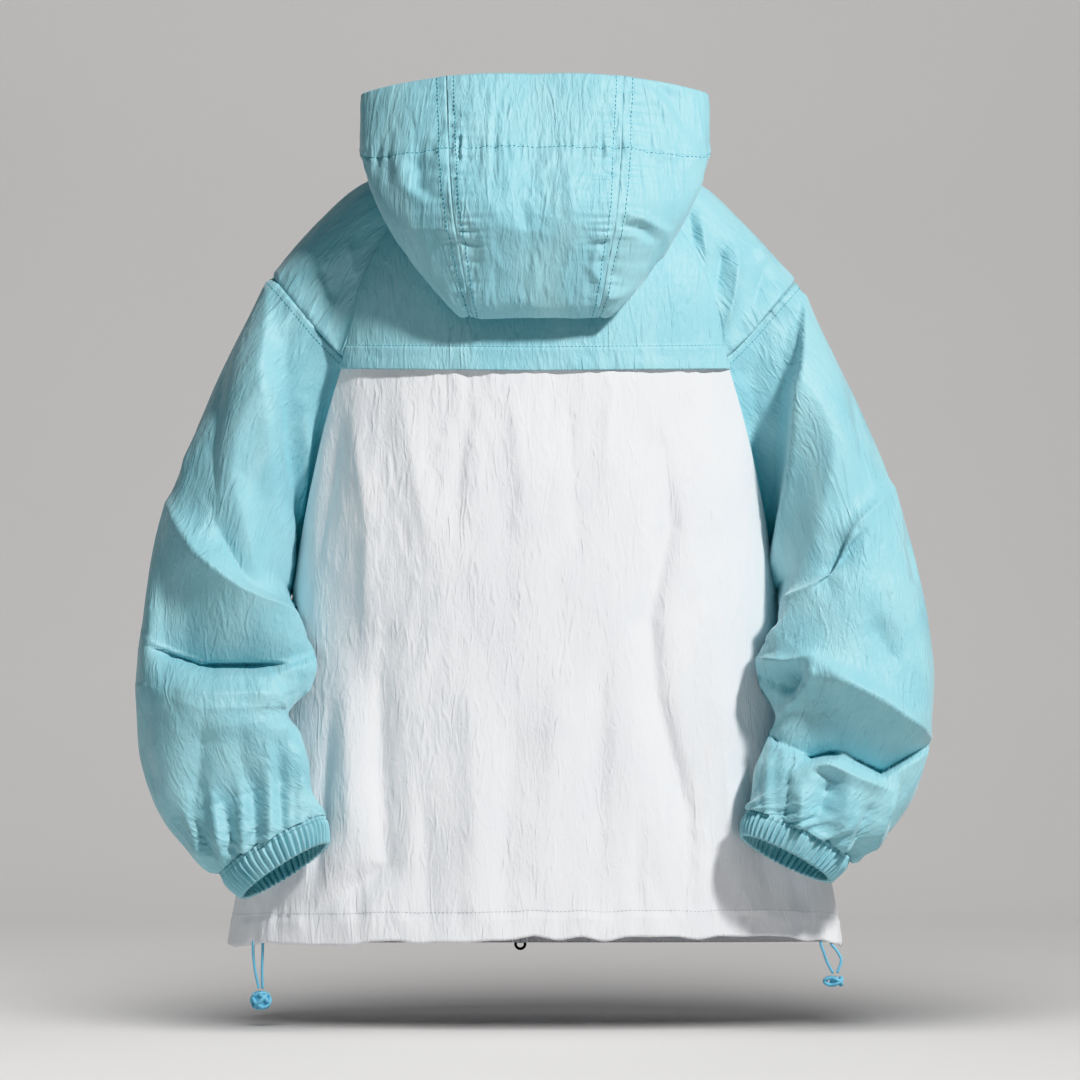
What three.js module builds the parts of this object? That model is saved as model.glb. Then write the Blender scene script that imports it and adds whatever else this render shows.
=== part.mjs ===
// Hooded windbreaker, zipped up and filled out as worn, with no wearer in it.
// Millimetres, +Z up, the front faces -Y, the wearer's left is +X.
// The origin is the middle of the neck base, where the shoulders carry the jacket.
import * as THREE from 'three';

// Rows of plain numbers as rows with named values
function namedRows(names, table) {
  return table.map((row) => Object.fromEntries(names.map((name, i) => [name, row[i]])));
}

// Cloth walls and seams
const WALL = 1.4;
const SEAM_GAP = 0.36;
const CUFF_WALL = 1.2;
const LAP_CLEARANCE = 0.7;
const CASING_STEP = 0.7;

// Levels down the body, as shares: 0 the neck, 1 the underarm, 2 the hem
const UNDERARM_Z = -363;
const HEM_BACK_Z = -672;
const HEM_SIDE_Z = -682;
const HEM_FRONT_Z = -692;
const DROP_SEAM = 0.43;
const YOKE_LIFT_FROM = 0.4;
const YOKE_LIFTED = 0.41;
const BACK_TOP = 0.415;
const YOKE_HEM = 0.46;
const CASING_TOP = 1.925;
const CASING_FULL = 1.935;
const UPPER_ROWS = [0, 0.05, 0.12, 0.2, 0.28, 0.35, YOKE_LIFT_FROM, DROP_SEAM];
const ARMHOLE_ROWS = [DROP_SEAM, YOKE_HEM, 0.53, 0.6, 0.67, 0.74, 0.81, 0.87, 0.92, 0.96, 1];
const BACK_LOWER_ROWS = [1.06, 1.15, 1.25, 1.36, 1.47, 1.58, 1.69, 1.8, 1.88, CASING_TOP, CASING_FULL, 2];
const FRONT_LOWER_ROWS = [1.1, 1.25, 1.45, 1.65, 1.85, CASING_TOP, CASING_FULL, 2];
const YOKE_ROWS = [0, 0.05, 0.12, 0.2, 0.28, 0.35, YOKE_LIFT_FROM, YOKE_LIFTED, DROP_SEAM, YOKE_HEM];
const BACK_ROWS = [BACK_TOP].concat(ARMHOLE_ROWS, BACK_LOWER_ROWS);
const FRONT_ROWS = UPPER_ROWS.concat(ARMHOLE_ROWS.slice(1), FRONT_LOWER_ROWS);
const BACK_COLUMNS = 18;
const FRONT_COLUMNS = 10;

// Neck opening: an oval, its height by the angle round from the centre back
const NECK_HALF_WIDTH = 92;
const NECK_BACK = 72;
const NECK_FRONT = 80;
const BACK_SEAM_TURN = 50;
const FRONT_SEAM_TURN = 135;
const NECK = [
  { turn: 0, z: 12 },
  { turn: 50, z: 17 },
  { turn: 90, z: 24 },
  { turn: 135, z: -8 },
  { turn: 180, z: -45 },
];

// Body rings: half width, depth behind and before the side, and where the raglan seams cut them
const ROUNDNESS = 2.5;
const NECK_FADE = 0.3;
const BODY = [
  { drop: -30, half: 120, back: 66, front: 70 },
  { drop: -12, half: 131, back: 72, front: 74 },
  { drop: 18, half: 172, back: 84, front: 84 },
  { drop: 75, half: 196, back: 101, front: 103 },
  { drop: 143, half: 204, back: 112, front: 116 },
  { drop: 202, half: 211, back: 115, front: 121 },
  { drop: 267, half: 216, back: 117, front: 124 },
  { drop: 331, half: 220, back: 116, front: 124 },
  { drop: 363, half: 222.6, back: 115, front: 123 },
  { drop: 423, half: 231, back: 113, front: 122 },
  { drop: 500, half: 245, back: 113, front: 121 },
  { drop: 580, half: 262, back: 114, front: 121 },
  { drop: 640, half: 275, back: 115, front: 121 },
  { drop: 700, half: 285, back: 116, front: 121 },
];
const RAGLAN_CUT = [
  { level: 0, back: 37, front: 34 },
  { level: 0.12, back: 45, front: 42 },
  { level: 0.25, back: 49.5, front: 46 },
  { level: 0.43, back: 54.5, front: 52 },
  { level: 0.58, back: 61, front: 59 },
  { level: 0.75, back: 69.5, front: 68 },
  { level: 0.9, back: 79, front: 78.5 },
  { level: 1, back: 90, front: 90 },
];

// Sleeves: outer and inner edge as seen from behind, depth of the middle, half depth, how far the
// inner edge is its own ridge, how far round the section turns, and the slope from back to front
const SLEEVE_NAMES = ['level', 'outX', 'outZ', 'inX', 'inZ', 'mid', 'deep', 'ridge', 'turn', 'slope'];
const LEFT_SLEEVE = namedRows(SLEEVE_NAMES, [
  [0, 92, 24, 84, 0, 0, 60, 0, 90, 0],
  [0.12, 150, 17, 130, -20, 4, 62, 0, 90, 0],
  [0.27, 198, -22, 150, -60, 9, 66, 0, 92, 0],
  [0.43, 240, -72, 180, -120, 15, 68, 0, 95, 0],
  [0.55, 261, -110, 240, -118, 22, 67, 0.3, 102, 0],
  [0.7, 288, -166, 240, -190, 32, 64, 0.75, 114, 0],
  [0.85, 310, -220, 233, -275, 42, 60, 1, 130, 0],
  [1, 326, -262, 221, -355, 50, 57, 1, 160, 0],
  [1.2, 343, -315, 214, -390, 62, 56, 1, 180, 0],
  [1.4, 352, -369, 198, -420, 76, 55, 1, 180, 0],
  [1.6, 359, -418, 202, -445, 86, 53, 1, 180, 0.03],
  [1.8, 360, -463, 222, -468, 94, 52, 1, 180, 0.07],
  [2, 356, -508, 211, -487, 101, 50, 1, 180, 0.12],
  [2.2, 344, -548, 204, -511, 107, 47, 1, 180, 0.17],
  [2.4, 327, -577, 201, -535, 112, 43, 1, 180, 0.21],
  [2.6, 304, -600, 195, -551, 116, 38, 1, 180, 0.24],
  [2.75, 283, -613, 188, -561, 118, 34, 1, 180, 0.26],
]);
const RIGHT_SLEEVE = namedRows(SLEEVE_NAMES, [
  [0, 92, 24, 84, 0, 0, 60, 0, 90, 0],
  [0.12, 148, 17, 130, -20, 4, 62, 0, 90, 0],
  [0.27, 196, -26, 150, -60, 9, 66, 0, 92, 0],
  [0.43, 238, -76, 180, -120, 15, 68, 0, 95, 0],
  [0.55, 259, -116, 242, -120, 22, 67, 0.3, 102, 0],
  [0.7, 285, -166, 241, -180, 32, 64, 0.75, 114, 0],
  [0.85, 306, -214, 233, -250, 42, 60, 1, 130, 0],
  [1, 320, -251, 221, -355, 50, 57, 1, 160, 0],
  [1.2, 334, -292, 224, -385, 62, 56, 1, 180, 0],
  [1.4, 346, -340, 205, -413, 76, 55, 1, 180, 0],
  [1.6, 355, -388, 202, -441, 86, 53, 1, 180, 0.03],
  [1.8, 360, -438, 217, -471, 94, 52, 1, 180, 0.07],
  [2, 356, -486, 210, -491, 101, 50, 1, 180, 0.12],
  [2.2, 346, -531, 198, -518, 107, 47, 1, 180, 0.17],
  [2.4, 328, -562, 195, -538, 112, 43, 1, 180, 0.21],
  [2.6, 306, -586, 193, -549, 116, 38, 1, 180, 0.24],
  [2.75, 283, -600, 191, -557, 118, 34, 1, 180, 0.26],
]);
const TUBE_ROWS = [1.08, 1.2, 1.32, 1.43, 1.54, 1.64, 1.74, 1.84, 1.95, 2.07, 2.2, 2.34, 2.48, 2.62, 2.75];
const SLEEVE_ROWS = ARMHOLE_ROWS.concat(TUBE_ROWS);
const SLEEVE_COLUMNS = 19;
const SEAM_REACH = 0.16;
const NECK_BLEND = 0.12;
const FREE_BELOW = 1.3;
const UNDERARM_EASE = 1.2;
const UNDERARM_REACH = 0.05;
const BODY_CLEARANCE = 6;
const CLEAR_BELOW = 1.15;

// Largest folds, as seen from behind: a ridge stands out, a trough goes in
const FOLD_NAMES = ['x0', 'z0', 'x1', 'z1', 'wide', 'high'];
const BACK_FOLD_EDGE = 0.25;
const FRONT_FOLD_EDGE = 0.2;
const SLEEVE_FOLD_EDGE = [0.02, 0.12];
const FACING_BACK = 0.4;
const LEFT_FOLDS = namedRows(FOLD_NAMES, [
  [304, -346, 208, -407, 11, 7],
  [345, -404, 212, -424, 12, -9],
  [330, -452, 240, -455, 16, 5],
  [346, -276, 308, -330, 9, -4],
  [300, -478, 330, -560, 12, -6],
  [272, -500, 262, -570, 9, 4],
  [238, -492, 228, -560, 9, -4],
  [250, -120, 244, -330, 12, 5],
]);
const RIGHT_FOLDS = namedRows(FOLD_NAMES, [
  [292, -300, 226, -396, 10, -5],
  [250, -416, 352, -487, 12, 7],
  [212, -486, 350, -505, 12, -8],
  [214, -425, 256, -432, 9, -6],
  [300, -520, 312, -575, 10, -5],
  [262, -508, 252, -566, 9, 4],
  [252, -120, 242, -330, 12, 5],
]);
const BACK_FOLDS = namedRows(FOLD_NAMES, [
  [139, -405, 143, -515, 15, -5],
  [143, -515, 136, -605, 12, -5],
  [136, -605, 198, -650, 10, -4],
  [-117, -230, -125, -300, 10, -4],
  [-125, -300, -105, -385, 12, -5],
  [-105, -385, -112, -455, 13, -5],
  [-112, -455, -139, -560, 13, -5],
  [-139, -560, -139, -640, 10, -4],
]);
const FRONT_FOLDS = namedRows(FOLD_NAMES, [
  [120, -300, 108, -520, 14, -5],
  [108, -520, 132, -640, 12, -4],
  [-130, -330, -118, -600, 14, -5],
]);

// Hood, laid back: rows from the rim round the bag to the neck seam. Each row names the centre (c),
// the panel seam (k), the side (s), the shoulder (g), the temple (f) and the front end (e)
const HOOD_SEAM = 0.34;
const HOOD = [
  {
    level: 0, cy: 106, cz: 106, kx: 80, ky: 104, kz: 104, sx: 154, sy: 74, sz: 92,
    gx: 152, gy: 26, gz: 82, fx: 118, fy: -42, fz: 46, ex: 52, ey: -92, ez: 4,
  },
  {
    level: 0.16, cy: 136, cz: 36, kx: 77, ky: 133, kz: 35, sx: 153, sy: 96, sz: 30,
    gx: 149, gy: 36, gz: 50, fx: 114, fy: -38, fz: 38, ex: 46, ey: -91, ez: -2,
  },
  {
    level: 0.3, cy: 163, cz: -20, kx: 73, ky: 157, kz: -20, sx: 141, sy: 112, sz: -14,
    gx: 141, gy: 46, gz: 36, fx: 110, fy: -35, fz: 34, ex: 41, ey: -90, ez: -8,
  },
  {
    level: 0.42, cy: 166, cz: -62, kx: 66, ky: 160, kz: -61, sx: 121, sy: 122, sz: -50,
    gx: 132, gy: 52, gz: 27, fx: 107, fy: -32, fz: 32, ex: 36, ey: -89, ez: -14,
  },
  {
    level: 0.52, cy: 152, cz: -100, kx: 59, ky: 148, kz: -99, sx: 92, sy: 126, sz: -84,
    gx: 122, gy: 56, gz: 21, fx: 104, fy: -30, fz: 31, ex: 32, ey: -88, ez: -20,
  },
  {
    level: 0.6, cy: 134, cz: -114, kx: 54, ky: 131, kz: -113, sx: 76, sy: 118, sz: -94,
    gx: 114, gy: 57, gz: 19, fx: 101, fy: -29, fz: 30, ex: 28, ey: -87, ez: -25,
  },
  {
    level: 0.72, cy: 117, cz: -86, kx: 53, ky: 115, kz: -84, sx: 82, sy: 104, sz: -58,
    gx: 106, gy: 54, gz: 24, fx: 98, fy: -28, fz: 29, ex: 22, ey: -85, ez: -30,
  },
  {
    level: 0.87, cy: 96, cz: -26, kx: 53, ky: 91, kz: -24, sx: 84, sy: 74, sz: -6,
    gx: 98, gy: 36, gz: 29, fx: 97, fy: -28, fz: 31, ex: 18, ey: -83, ez: -34,
  },
  {
    level: 0.94, cy: 83, cz: 8, kx: 53, ky: 74, kz: 11, sx: 84, sy: 53, sz: 17,
    gx: 95, gy: 26, gz: 27, fx: 92, fy: -30, fz: 22, ex: 16, ey: -81, ez: -38,
  },
];
const HOOD_NECK_LIFT = 1;
const HOOD_NECK_TURNS = { c: 0, k: 34, s: 58, g: 78, f: 112, e: 171 };
const HOOD_STATIONS = { c: 0, k: HOOD_SEAM, s: 0.58, g: 0.72, f: 0.87, e: 1 };
const HOOD_ROWS = [0, 0.08, 0.16, 0.25, 0.34, 0.43, 0.51, 0.57, 0.63, 0.74, 0.87, 0.94, 1];

// Elastic cuffs: 36 pleats round, the edge narrower than the stitched top
const PLEATS = 36;
const POINTS_A_PLEAT = 3;
const PLEAT_DEPTH = 2.2;
const PLEAT_START = 0.35;
const PLEAT_GROWTH = 1.3;
const CUFF_HALF_WIDTH = 50;
const CUFF_GAP = 0.8;
const CUFF_FALL = 24;
const LEFT_CUFF_EDGE = { outX: 263, outZ: -634, inX: 186, inZ: -586, mid: 119, deep: 31, slope: 0.28 };
const RIGHT_CUFF_EDGE = { outX: 265, outZ: -619, inX: 185, inZ: -579, mid: 119, deep: 31, slope: 0.28 };

// Zip: two tapes side by side, a slider at each end and a ring on each slider
const TAPE_WIDTH = 7;
const ZIP_SWING = 14;
const SLIDER_WIDTH = 9;
const SLIDER_HEIGHT = 12;
const SLIDER_THICK = 3;
const SLIDER_CORNER = 2;
const SLIDER_OFF = 0.5;
const EYE_GAP = 0.3;
const EYE_DROP = -3;
const BAIL_RADIUS = 2.5;
const BAIL_WIRE = 0.75;
const BAIL_SIDES = [6, 14];
const RING_RADIUS = 4.5;
const RING_WIRE = 1.3;
const RING_SIDES = [8, 20];

// Hem drawcord: what shows of it at each side, and its knots
const CORD_DIAMETER = 2.6;
const CORD_SIDES = 8;
const CORD_STEPS = 10;
const CORDS = {
  cord_left_outer: [[256, 60.5, -677.1], [256, 61, -690], [254, 62, -705], [250.8, 62, -720.1]],
  cord_left_inner: [[247, 67, -676.6], [247.3, 66.3, -690], [247.8, 64.2, -705], [247.4, 62.3, -720.1]],
  cord_right_outer: [
    [-270, 44, -679], [-270.8, 44.4, -682], [-275.8, 46.5, -688], [-279, 49, -696], [-275.4, 50.3, -707],
  ],
  cord_right_inner: [
    [-260, 56, -677.8], [-260.3, 56, -681], [-262.8, 55.8, -688], [-266, 54, -697], [-271.2, 51.2, -707],
  ],
};
const KNOT_SIDES = [14, 9];
const KNOT_LEFT = { x: 249, y: 62, z: -731, rx: 9.6, ry: 8.6, rz: 10.6 };
const KNOT_RIGHT = { x: -273, y: 50.5, z: -714.6, rx: 10.4, ry: 6.6, rz: 7.2 };

const AQUA = '#6cc5d0';
const WHITE = '#f2f3f6';
const CORD_BLUE = '#4fb3d9';
const BLACK = '#141416';

const jacket = new THREE.Group();

// A cubic through one column of a table, each slope taken from the neighbouring rows
function through(rows, by, name) {
  const at = rows.map((row) => row[by]);
  const value = rows.map((row) => row[name]);
  const last = at.length - 1;
  const slope = value.map((_, i) => {
    const low = Math.max(i - 1, 0);
    const high = Math.min(i + 1, last);
    return (value[high] - value[low]) / (at[high] - at[low]);
  });
  return (x) => {
    let i = 0;
    while (i < last - 1 && x > at[i + 1]) i += 1;
    const step = at[i + 1] - at[i];
    const t = THREE.MathUtils.clamp((x - at[i]) / step, 0, 1);
    const a = value[i] * (1 + 2 * t) * (1 - t) ** 2;
    const b = value[i + 1] * (3 - 2 * t) * t ** 2;
    return a + b + step * (slope[i] * t * (1 - t) ** 2 - slope[i + 1] * t ** 2 * (1 - t));
  };
}

const mix = THREE.MathUtils.lerp;
const radians = THREE.MathUtils.degToRad;
const vector = (x, y, z) => new THREE.Vector3(x, y, z);
const halfWidth = through(BODY, 'drop', 'half');
const backDepth = through(BODY, 'drop', 'back');
const frontDepth = through(BODY, 'drop', 'front');
const neckHeight = through(NECK, 'turn', 'z');
const seamTurn = {
  back: through(RAGLAN_CUT, 'level', 'back'),
  front: through(RAGLAN_CUT, 'level', 'front'),
};

// Point of the neck opening at an angle round from the centre back
function neckPoint(turn, side) {
  const depth = turn < 90 ? NECK_BACK : NECK_FRONT;
  const angle = radians(turn);
  return vector(side * NECK_HALF_WIDTH * Math.sin(angle), depth * Math.cos(angle), neckHeight(turn));
}

// Point of a body ring: a rounded oblong, its angle measured from the centre
function ringPoint(face, angle, z) {
  const depth = face === 'back' ? backDepth(-z) : -frontDepth(-z);
  const across = Math.sign(angle) * Math.abs(Math.sin(angle)) ** (2 / ROUNDNESS);
  const out = Math.max(Math.cos(angle), 0) ** (2 / ROUNDNESS);
  return vector(halfWidth(-z) * across, depth * out, z);
}

// Height of a body row: neck to underarm above 1, underarm to hem below it
function rowHeight(face, top, level, share) {
  if (level <= 1) return mix(top, UNDERARM_Z, level);
  const middle = face === 'back' ? HEM_BACK_Z : HEM_FRONT_Z;
  return mix(UNDERARM_Z, mix(middle, HEM_SIDE_Z, share ** 2), level - 1);
}

// Where the zip's middle lies: it drifts to the wearer's left towards the hem
const zipMiddle = (level) => ZIP_SWING * THREE.MathUtils.smoothstep(level, 0.8, 2);

// Angle at which a front ring reaches a given x
function angleAt(x, z) {
  return Math.sign(x) * Math.asin(Math.min(Math.abs(x) / halfWidth(-z), 1) ** (ROUNDNESS / 2));
}

// Point of the body: share 0 at the centre (or the zip) and 1 at the seam on that side
function bodyPoint(face, side, share, level) {
  const back = face === 'back';
  const seam = back ? BACK_SEAM_TURN : FRONT_SEAM_TURN;
  const middle = back ? 0 : zipMiddle(level) + side * (TAPE_WIDTH + SEAM_GAP);
  const centreTurn = back ? 0 : 180 - Math.asin(side * middle / NECK_HALF_WIDTH) * 180 / Math.PI;
  const neck = neckPoint(mix(centreTurn, seam, share), side);
  const z = rowHeight(face, neck.z, level, share);
  const start = (height) => (back ? 0 : angleAt(middle, height));
  const angle = mix(start(z), side * radians(seamTurn[face](Math.min(level, 1))), share);
  const point = ringPoint(face, angle, z);
  const topAngle = mix(start(neck.z), side * radians(seamTurn[face](0)), share);
  const fade = Math.max(0, 1 - level / NECK_FADE) ** 2;
  return point.add(neck.sub(ringPoint(face, topAngle, neck.z)).multiplyScalar(fade));
}

// Moves a point of a sleeve out of the body ring at its height, grown by a clearance
function clearOfBody(point, clearance) {
  const wide = halfWidth(-point.z) + clearance;
  const deep = (point.y > 0 ? backDepth(-point.z) : frontDepth(-point.z)) + clearance;
  const sum = Math.abs(point.x / wide) ** ROUNDNESS + Math.abs(point.y / deep) ** ROUNDNESS;
  const inside = sum ** (1 / ROUNDNESS);
  if (inside < 1) {
    point.x /= inside;
    point.y /= inside;
  }
  return point;
}

// Surface of a shoulder and sleeve: around 0 at the back seam, over the outside, to 1 at the front
function sleeveSurface(rows, side) {
  const names = SLEEVE_NAMES.slice(1);
  const column = Object.fromEntries(names.map((name) => [name, through(rows, 'level', name)]));
  return (around, level) => {
    const row = Object.fromEntries(names.map((name) => [name, column[name](level)]));
    const back = bodyPoint('back', side, 1, Math.min(level, 1));
    const front = bodyPoint('front', side, 1, Math.min(level, 1));
    const outer = vector(side * row.outX, row.mid, row.outZ);
    const ridge = vector(side * row.inX, row.mid, row.inZ);
    const inner = back.clone().add(front).sub(outer).lerp(ridge, row.ridge);
    if (row.ridge < 1) inner.y = mix(row.mid, inner.y, 1 - row.ridge);
    const angle = radians(row.turn) * (1 - 2 * around);
    const oval = outer.clone().add(inner).multiplyScalar(0.5);
    oval.addScaledVector(outer.clone().sub(inner), 0.5 * Math.cos(angle));
    oval.y += row.deep * Math.sin(angle);
    oval.z += row.slope * row.deep * Math.sin(angle);
    const ends = Math.min(around, 1 - around);
    const free = level < 1 ? 0 : THREE.MathUtils.smoothstep(level, 1, FREE_BELOW);
    const held = (1 - free) * (1 - THREE.MathUtils.smoothstep(ends, 0, SEAM_REACH));
    const turn = mix(BACK_SEAM_TURN, FRONT_SEAM_TURN, around);
    oval.lerp(neckPoint(turn, side), 1 - THREE.MathUtils.smoothstep(level, 0, NECK_BLEND));
    const point = level > 0 ? oval.lerp(around < 0.5 ? back : front, held) : oval;
    if (level > 1) clearOfBody(point, BODY_CLEARANCE * THREE.MathUtils.smoothstep(level, 1, 1.12));
    return point;
  };
}

const SLEEVES = {
  left: sleeveSurface(LEFT_SLEEVE, 1),
  right: sleeveSurface(RIGHT_SLEEVE, -1),
};

// Outward normal of a surface by small steps, kept inside its range
const NORMAL_STEP = 0.004;
function normalOf(surface, across, along, turn) {
  const aside = across > 0.5 ? -NORMAL_STEP : NORMAL_STEP;
  const down = along > 5 * NORMAL_STEP ? -NORMAL_STEP : NORMAL_STEP;
  const here = surface(across, along);
  const one = surface(across + aside, along).sub(here).multiplyScalar(Math.sign(aside));
  const two = surface(across, along + down).sub(here).multiplyScalar(Math.sign(down));
  return one.cross(two).multiplyScalar(turn).normalize();
}

// Thickness direction shared by the two walls that meet at a raglan seam
function seamNormal(face, side, level) {
  const name = side > 0 ? 'left' : 'right';
  const q = Math.min(level, 1);
  const body = normalOf((s, l) => bodyPoint(face, side, s, l), 1, q, face === 'back' ? side : -side);
  const sleeve = normalOf(SLEEVES[name], face === 'back' ? 0 : 1, q, side);
  const low = THREE.MathUtils.smoothstep(level, 0.8, 1);
  return body.add(sleeve).add(vector(0, 0, -2 * low)).normalize();
}

// How far the folds move a point out, by its place as seen from behind or from the front
function foldHeight(folds, x, z) {
  let height = 0;
  for (const fold of folds) {
    const dx = fold.x1 - fold.x0;
    const dz = fold.z1 - fold.z0;
    const length = Math.hypot(dx, dz);
    const along = ((x - fold.x0) * dx + (z - fold.z0) * dz) / length ** 2;
    const beyond = Math.max(0, -along, along - 1) * length;
    const aside = ((x - fold.x0) * dz - (z - fold.z0) * dx) / length;
    height += fold.high * Math.exp(-((aside / fold.wide) ** 2) - (beyond / fold.wide) ** 2);
  }
  return height;
}

// Grid of points, rows from one edge to the other, with outward normals from their neighbours
function gridOf(rows, columns, place) {
  const points = rows.map((row) => columns.map((column) => place(column, row)));
  return { rows, columns, points };
}

function gridNormals(points, turn, closed) {
  const last = points.length - 1;
  const wide = points[0].length;
  return points.map((row, j) => row.map((_, i) => {
    const before = closed ? (i + wide - 1) % wide : Math.max(i - 1, 0);
    const after = closed ? (i + 1) % wide : Math.min(i + 1, wide - 1);
    const across = points[j][after].clone().sub(points[j][before]);
    const down = points[Math.min(j + 1, last)][i].clone().sub(points[Math.max(j - 1, 0)][i]);
    return across.cross(down).multiplyScalar(turn).normalize();
  }));
}

// Pulls one edge of a grid back along the cloth, so that it ends short of its seam
function trimEdge(points, edge, amount, only = () => true) {
  const last = points.length - 1;
  const wide = points[0].length - 1;
  const pull = (from, to) => from.add(to.clone().sub(from).setLength(amount));
  if (edge === 'first' || edge === 'last') {
    const i = edge === 'first' ? 0 : wide;
    points.forEach((row, j) => only(j) && pull(row[i], row[edge === 'first' ? 1 : wide - 1]));
  } else {
    const j = edge === 'top' ? 0 : last;
    points[j].forEach((point, i) => pull(point, points[edge === 'top' ? 1 : last - 1][i]));
  }
}

// Closed wall: the outer grid, the inner grid a thickness behind it, and strips round the edges
function wall(points, normals, thickness, turn, closed) {
  const rows = points.length;
  const wide = points[0].length;
  const place = [];
  for (const depth of [0, thickness]) {
    for (let j = 0; j < rows; j += 1) {
      for (let i = 0; i < wide; i += 1) {
        const p = points[j][i].clone().addScaledVector(normals[j][i], -depth);
        place.push(p.x, p.y, p.z);
      }
    }
  }
  const index = [];
  const inner = rows * wide;
  const quad = (a, b, c, d) => (turn > 0 ? index.push(a, b, c, a, c, d) : index.push(a, c, b, a, d, c));
  const across = closed ? wide : wide - 1;
  for (let j = 0; j < rows - 1; j += 1) {
    for (let i = 0; i < across; i += 1) {
      const next = (i + 1) % wide;
      const a = j * wide + i;
      const b = j * wide + next;
      quad(a, b, b + wide, a + wide);
      quad(inner + a, inner + a + wide, inner + b + wide, inner + b);
    }
    if (!closed) {
      const a = j * wide;
      const b = a + wide - 1;
      quad(a, a + wide, inner + a + wide, inner + a);
      quad(b, inner + b, inner + b + wide, b + wide);
    }
  }
  for (let i = 0; i < across; i += 1) {
    const next = (i + 1) % wide;
    const low = (rows - 1) * wide;
    quad(i, inner + i, inner + next, next);
    quad(low + i, low + next, inner + low + next, inner + low + i);
  }
  const geometry = new THREE.BufferGeometry();
  geometry.setAttribute('position', new THREE.Float32BufferAttribute(place, 3));
  geometry.setIndex(index);
  return geometry;
}

function addPiece(name, geometry, color, roughness, metalness = 0) {
  const mesh = new THREE.Mesh(geometry, new THREE.MeshStandardMaterial({ color, roughness, metalness }));
  mesh.name = name;
  jacket.add(mesh);
  return mesh;
}

function spread(count, from = 0, to = 1) {
  return Array.from({ length: count + 1 }, (_, i) => mix(from, to, i / count));
}

const moveOut = (points, normals, amount) => points.forEach((row, j) => {
  row.forEach((point, i) => point.addScaledVector(normals[j][i], amount(i, j)));
});

// Back piece across both sides, from one level to another, its sides mitred to the sleeves
function makeBack(name, levels, columns, lift, color) {
  const turn = 1;
  const place = (s, level) => bodyPoint('back', Math.sign(s) || 1, Math.abs(s), level);
  const grid = gridOf(levels, columns, place);
  const normals = gridNormals(grid.points, turn, false);
  levels.forEach((level, j) => {
    if (level > 1) return;
    normals[j][0] = seamNormal('back', -1, level);
    normals[j][columns.length - 1] = seamNormal('back', 1, level);
  });
  for (const edge of ['first', 'last']) trimEdge(grid.points, edge, SEAM_GAP / 2);
  moveOut(grid.points, normals, (i, j) => {
    const point = grid.points[j][i];
    const inside = THREE.MathUtils.smoothstep(1 - Math.abs(columns[i]), 0, BACK_FOLD_EDGE);
    return lift(levels[j]) + inside * foldHeight(BACK_FOLDS, point.x, point.z);
  });
  addPiece(name, wall(grid.points, normals, WALL, turn, false), color, 0.6);
}

const yokeLift = (level) => (level >= YOKE_LIFTED ? WALL + LAP_CLEARANCE : 0);
const casingLift = (level) => (level > CASING_TOP ? CASING_STEP : 0);
makeBack('back_yoke', YOKE_ROWS, spread(BACK_COLUMNS, -1, 1), yokeLift, AQUA);
makeBack('back_panel', BACK_ROWS, spread(BACK_COLUMNS, -1, 1), casingLift, WHITE);

// Front, from the zip to the raglan seam and the side seam
function makeFront(name, side) {
  const turn = -side;
  const columns = spread(FRONT_COLUMNS);
  const grid = gridOf(FRONT_ROWS, columns, (s, level) => bodyPoint('front', side, s, level));
  const normals = gridNormals(grid.points, turn, false);
  FRONT_ROWS.forEach((level, j) => {
    if (level <= 1) normals[j][columns.length - 1] = seamNormal('front', side, level);
  });
  trimEdge(grid.points, 'last', SEAM_GAP / 2);
  moveOut(grid.points, normals, (i, j) => {
    const point = grid.points[j][i];
    const ends = Math.min(columns[i], 1 - columns[i]);
    const inside = THREE.MathUtils.smoothstep(ends, 0, FRONT_FOLD_EDGE);
    return casingLift(FRONT_ROWS[j]) + inside * foldHeight(FRONT_FOLDS, point.x, point.z);
  });
  addPiece(name, wall(grid.points, normals, WALL, turn, false), WHITE, 0.6);
}
makeFront('front_left', 1);
makeFront('front_right', -1);

// Shoulder piece or sleeve: one sheet from the back seam round to the front seam
function makeSleeve(name, sideName, levels, folds, trims) {
  const side = sideName === 'left' ? 1 : -1;
  const columns = spread(SLEEVE_COLUMNS);
  const grid = gridOf(levels, columns, SLEEVES[sideName]);
  const normals = gridNormals(grid.points, side, false);
  levels.forEach((level, j) => {
    const last = columns.length - 1;
    if (level <= 1) {
      normals[j][0] = seamNormal('back', side, level);
      normals[j][last] = seamNormal('front', side, level);
    } else {
      const shared = normals[j][0].clone().add(normals[j][last]).normalize();
      const low = 1 - THREE.MathUtils.smoothstep(level, 1, 1.1);
      shared.add(vector(0, 0, -2 * low)).normalize();
      normals[j][0] = shared;
      normals[j][last] = shared.clone();
    }
  });
  for (const edge of trims) trimEdge(grid.points, edge, SEAM_GAP / 2);
  const underarm = (j) => Math.abs(levels[j] - 1) < UNDERARM_REACH;
  for (const edge of ['first', 'last']) trimEdge(grid.points, edge, UNDERARM_EASE, underarm);
  moveOut(grid.points, normals, (i, j) => {
    const point = grid.points[j][i];
    const behind = THREE.MathUtils.smoothstep(normals[j][i].y, 0, FACING_BACK);
    const ends = Math.min(columns[i], 1 - columns[i]);
    const inside = THREE.MathUtils.smoothstep(ends, ...SLEEVE_FOLD_EDGE);
    return behind * inside * foldHeight(folds, side * point.x, point.z);
  });
  levels.forEach((level, j) => {
    if (level > CLEAR_BELOW) grid.points[j].forEach((point) => clearOfBody(point, BODY_CLEARANCE));
  });
  addPiece(name, wall(grid.points, normals, WALL, side, false), AQUA, 0.55);
}

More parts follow.
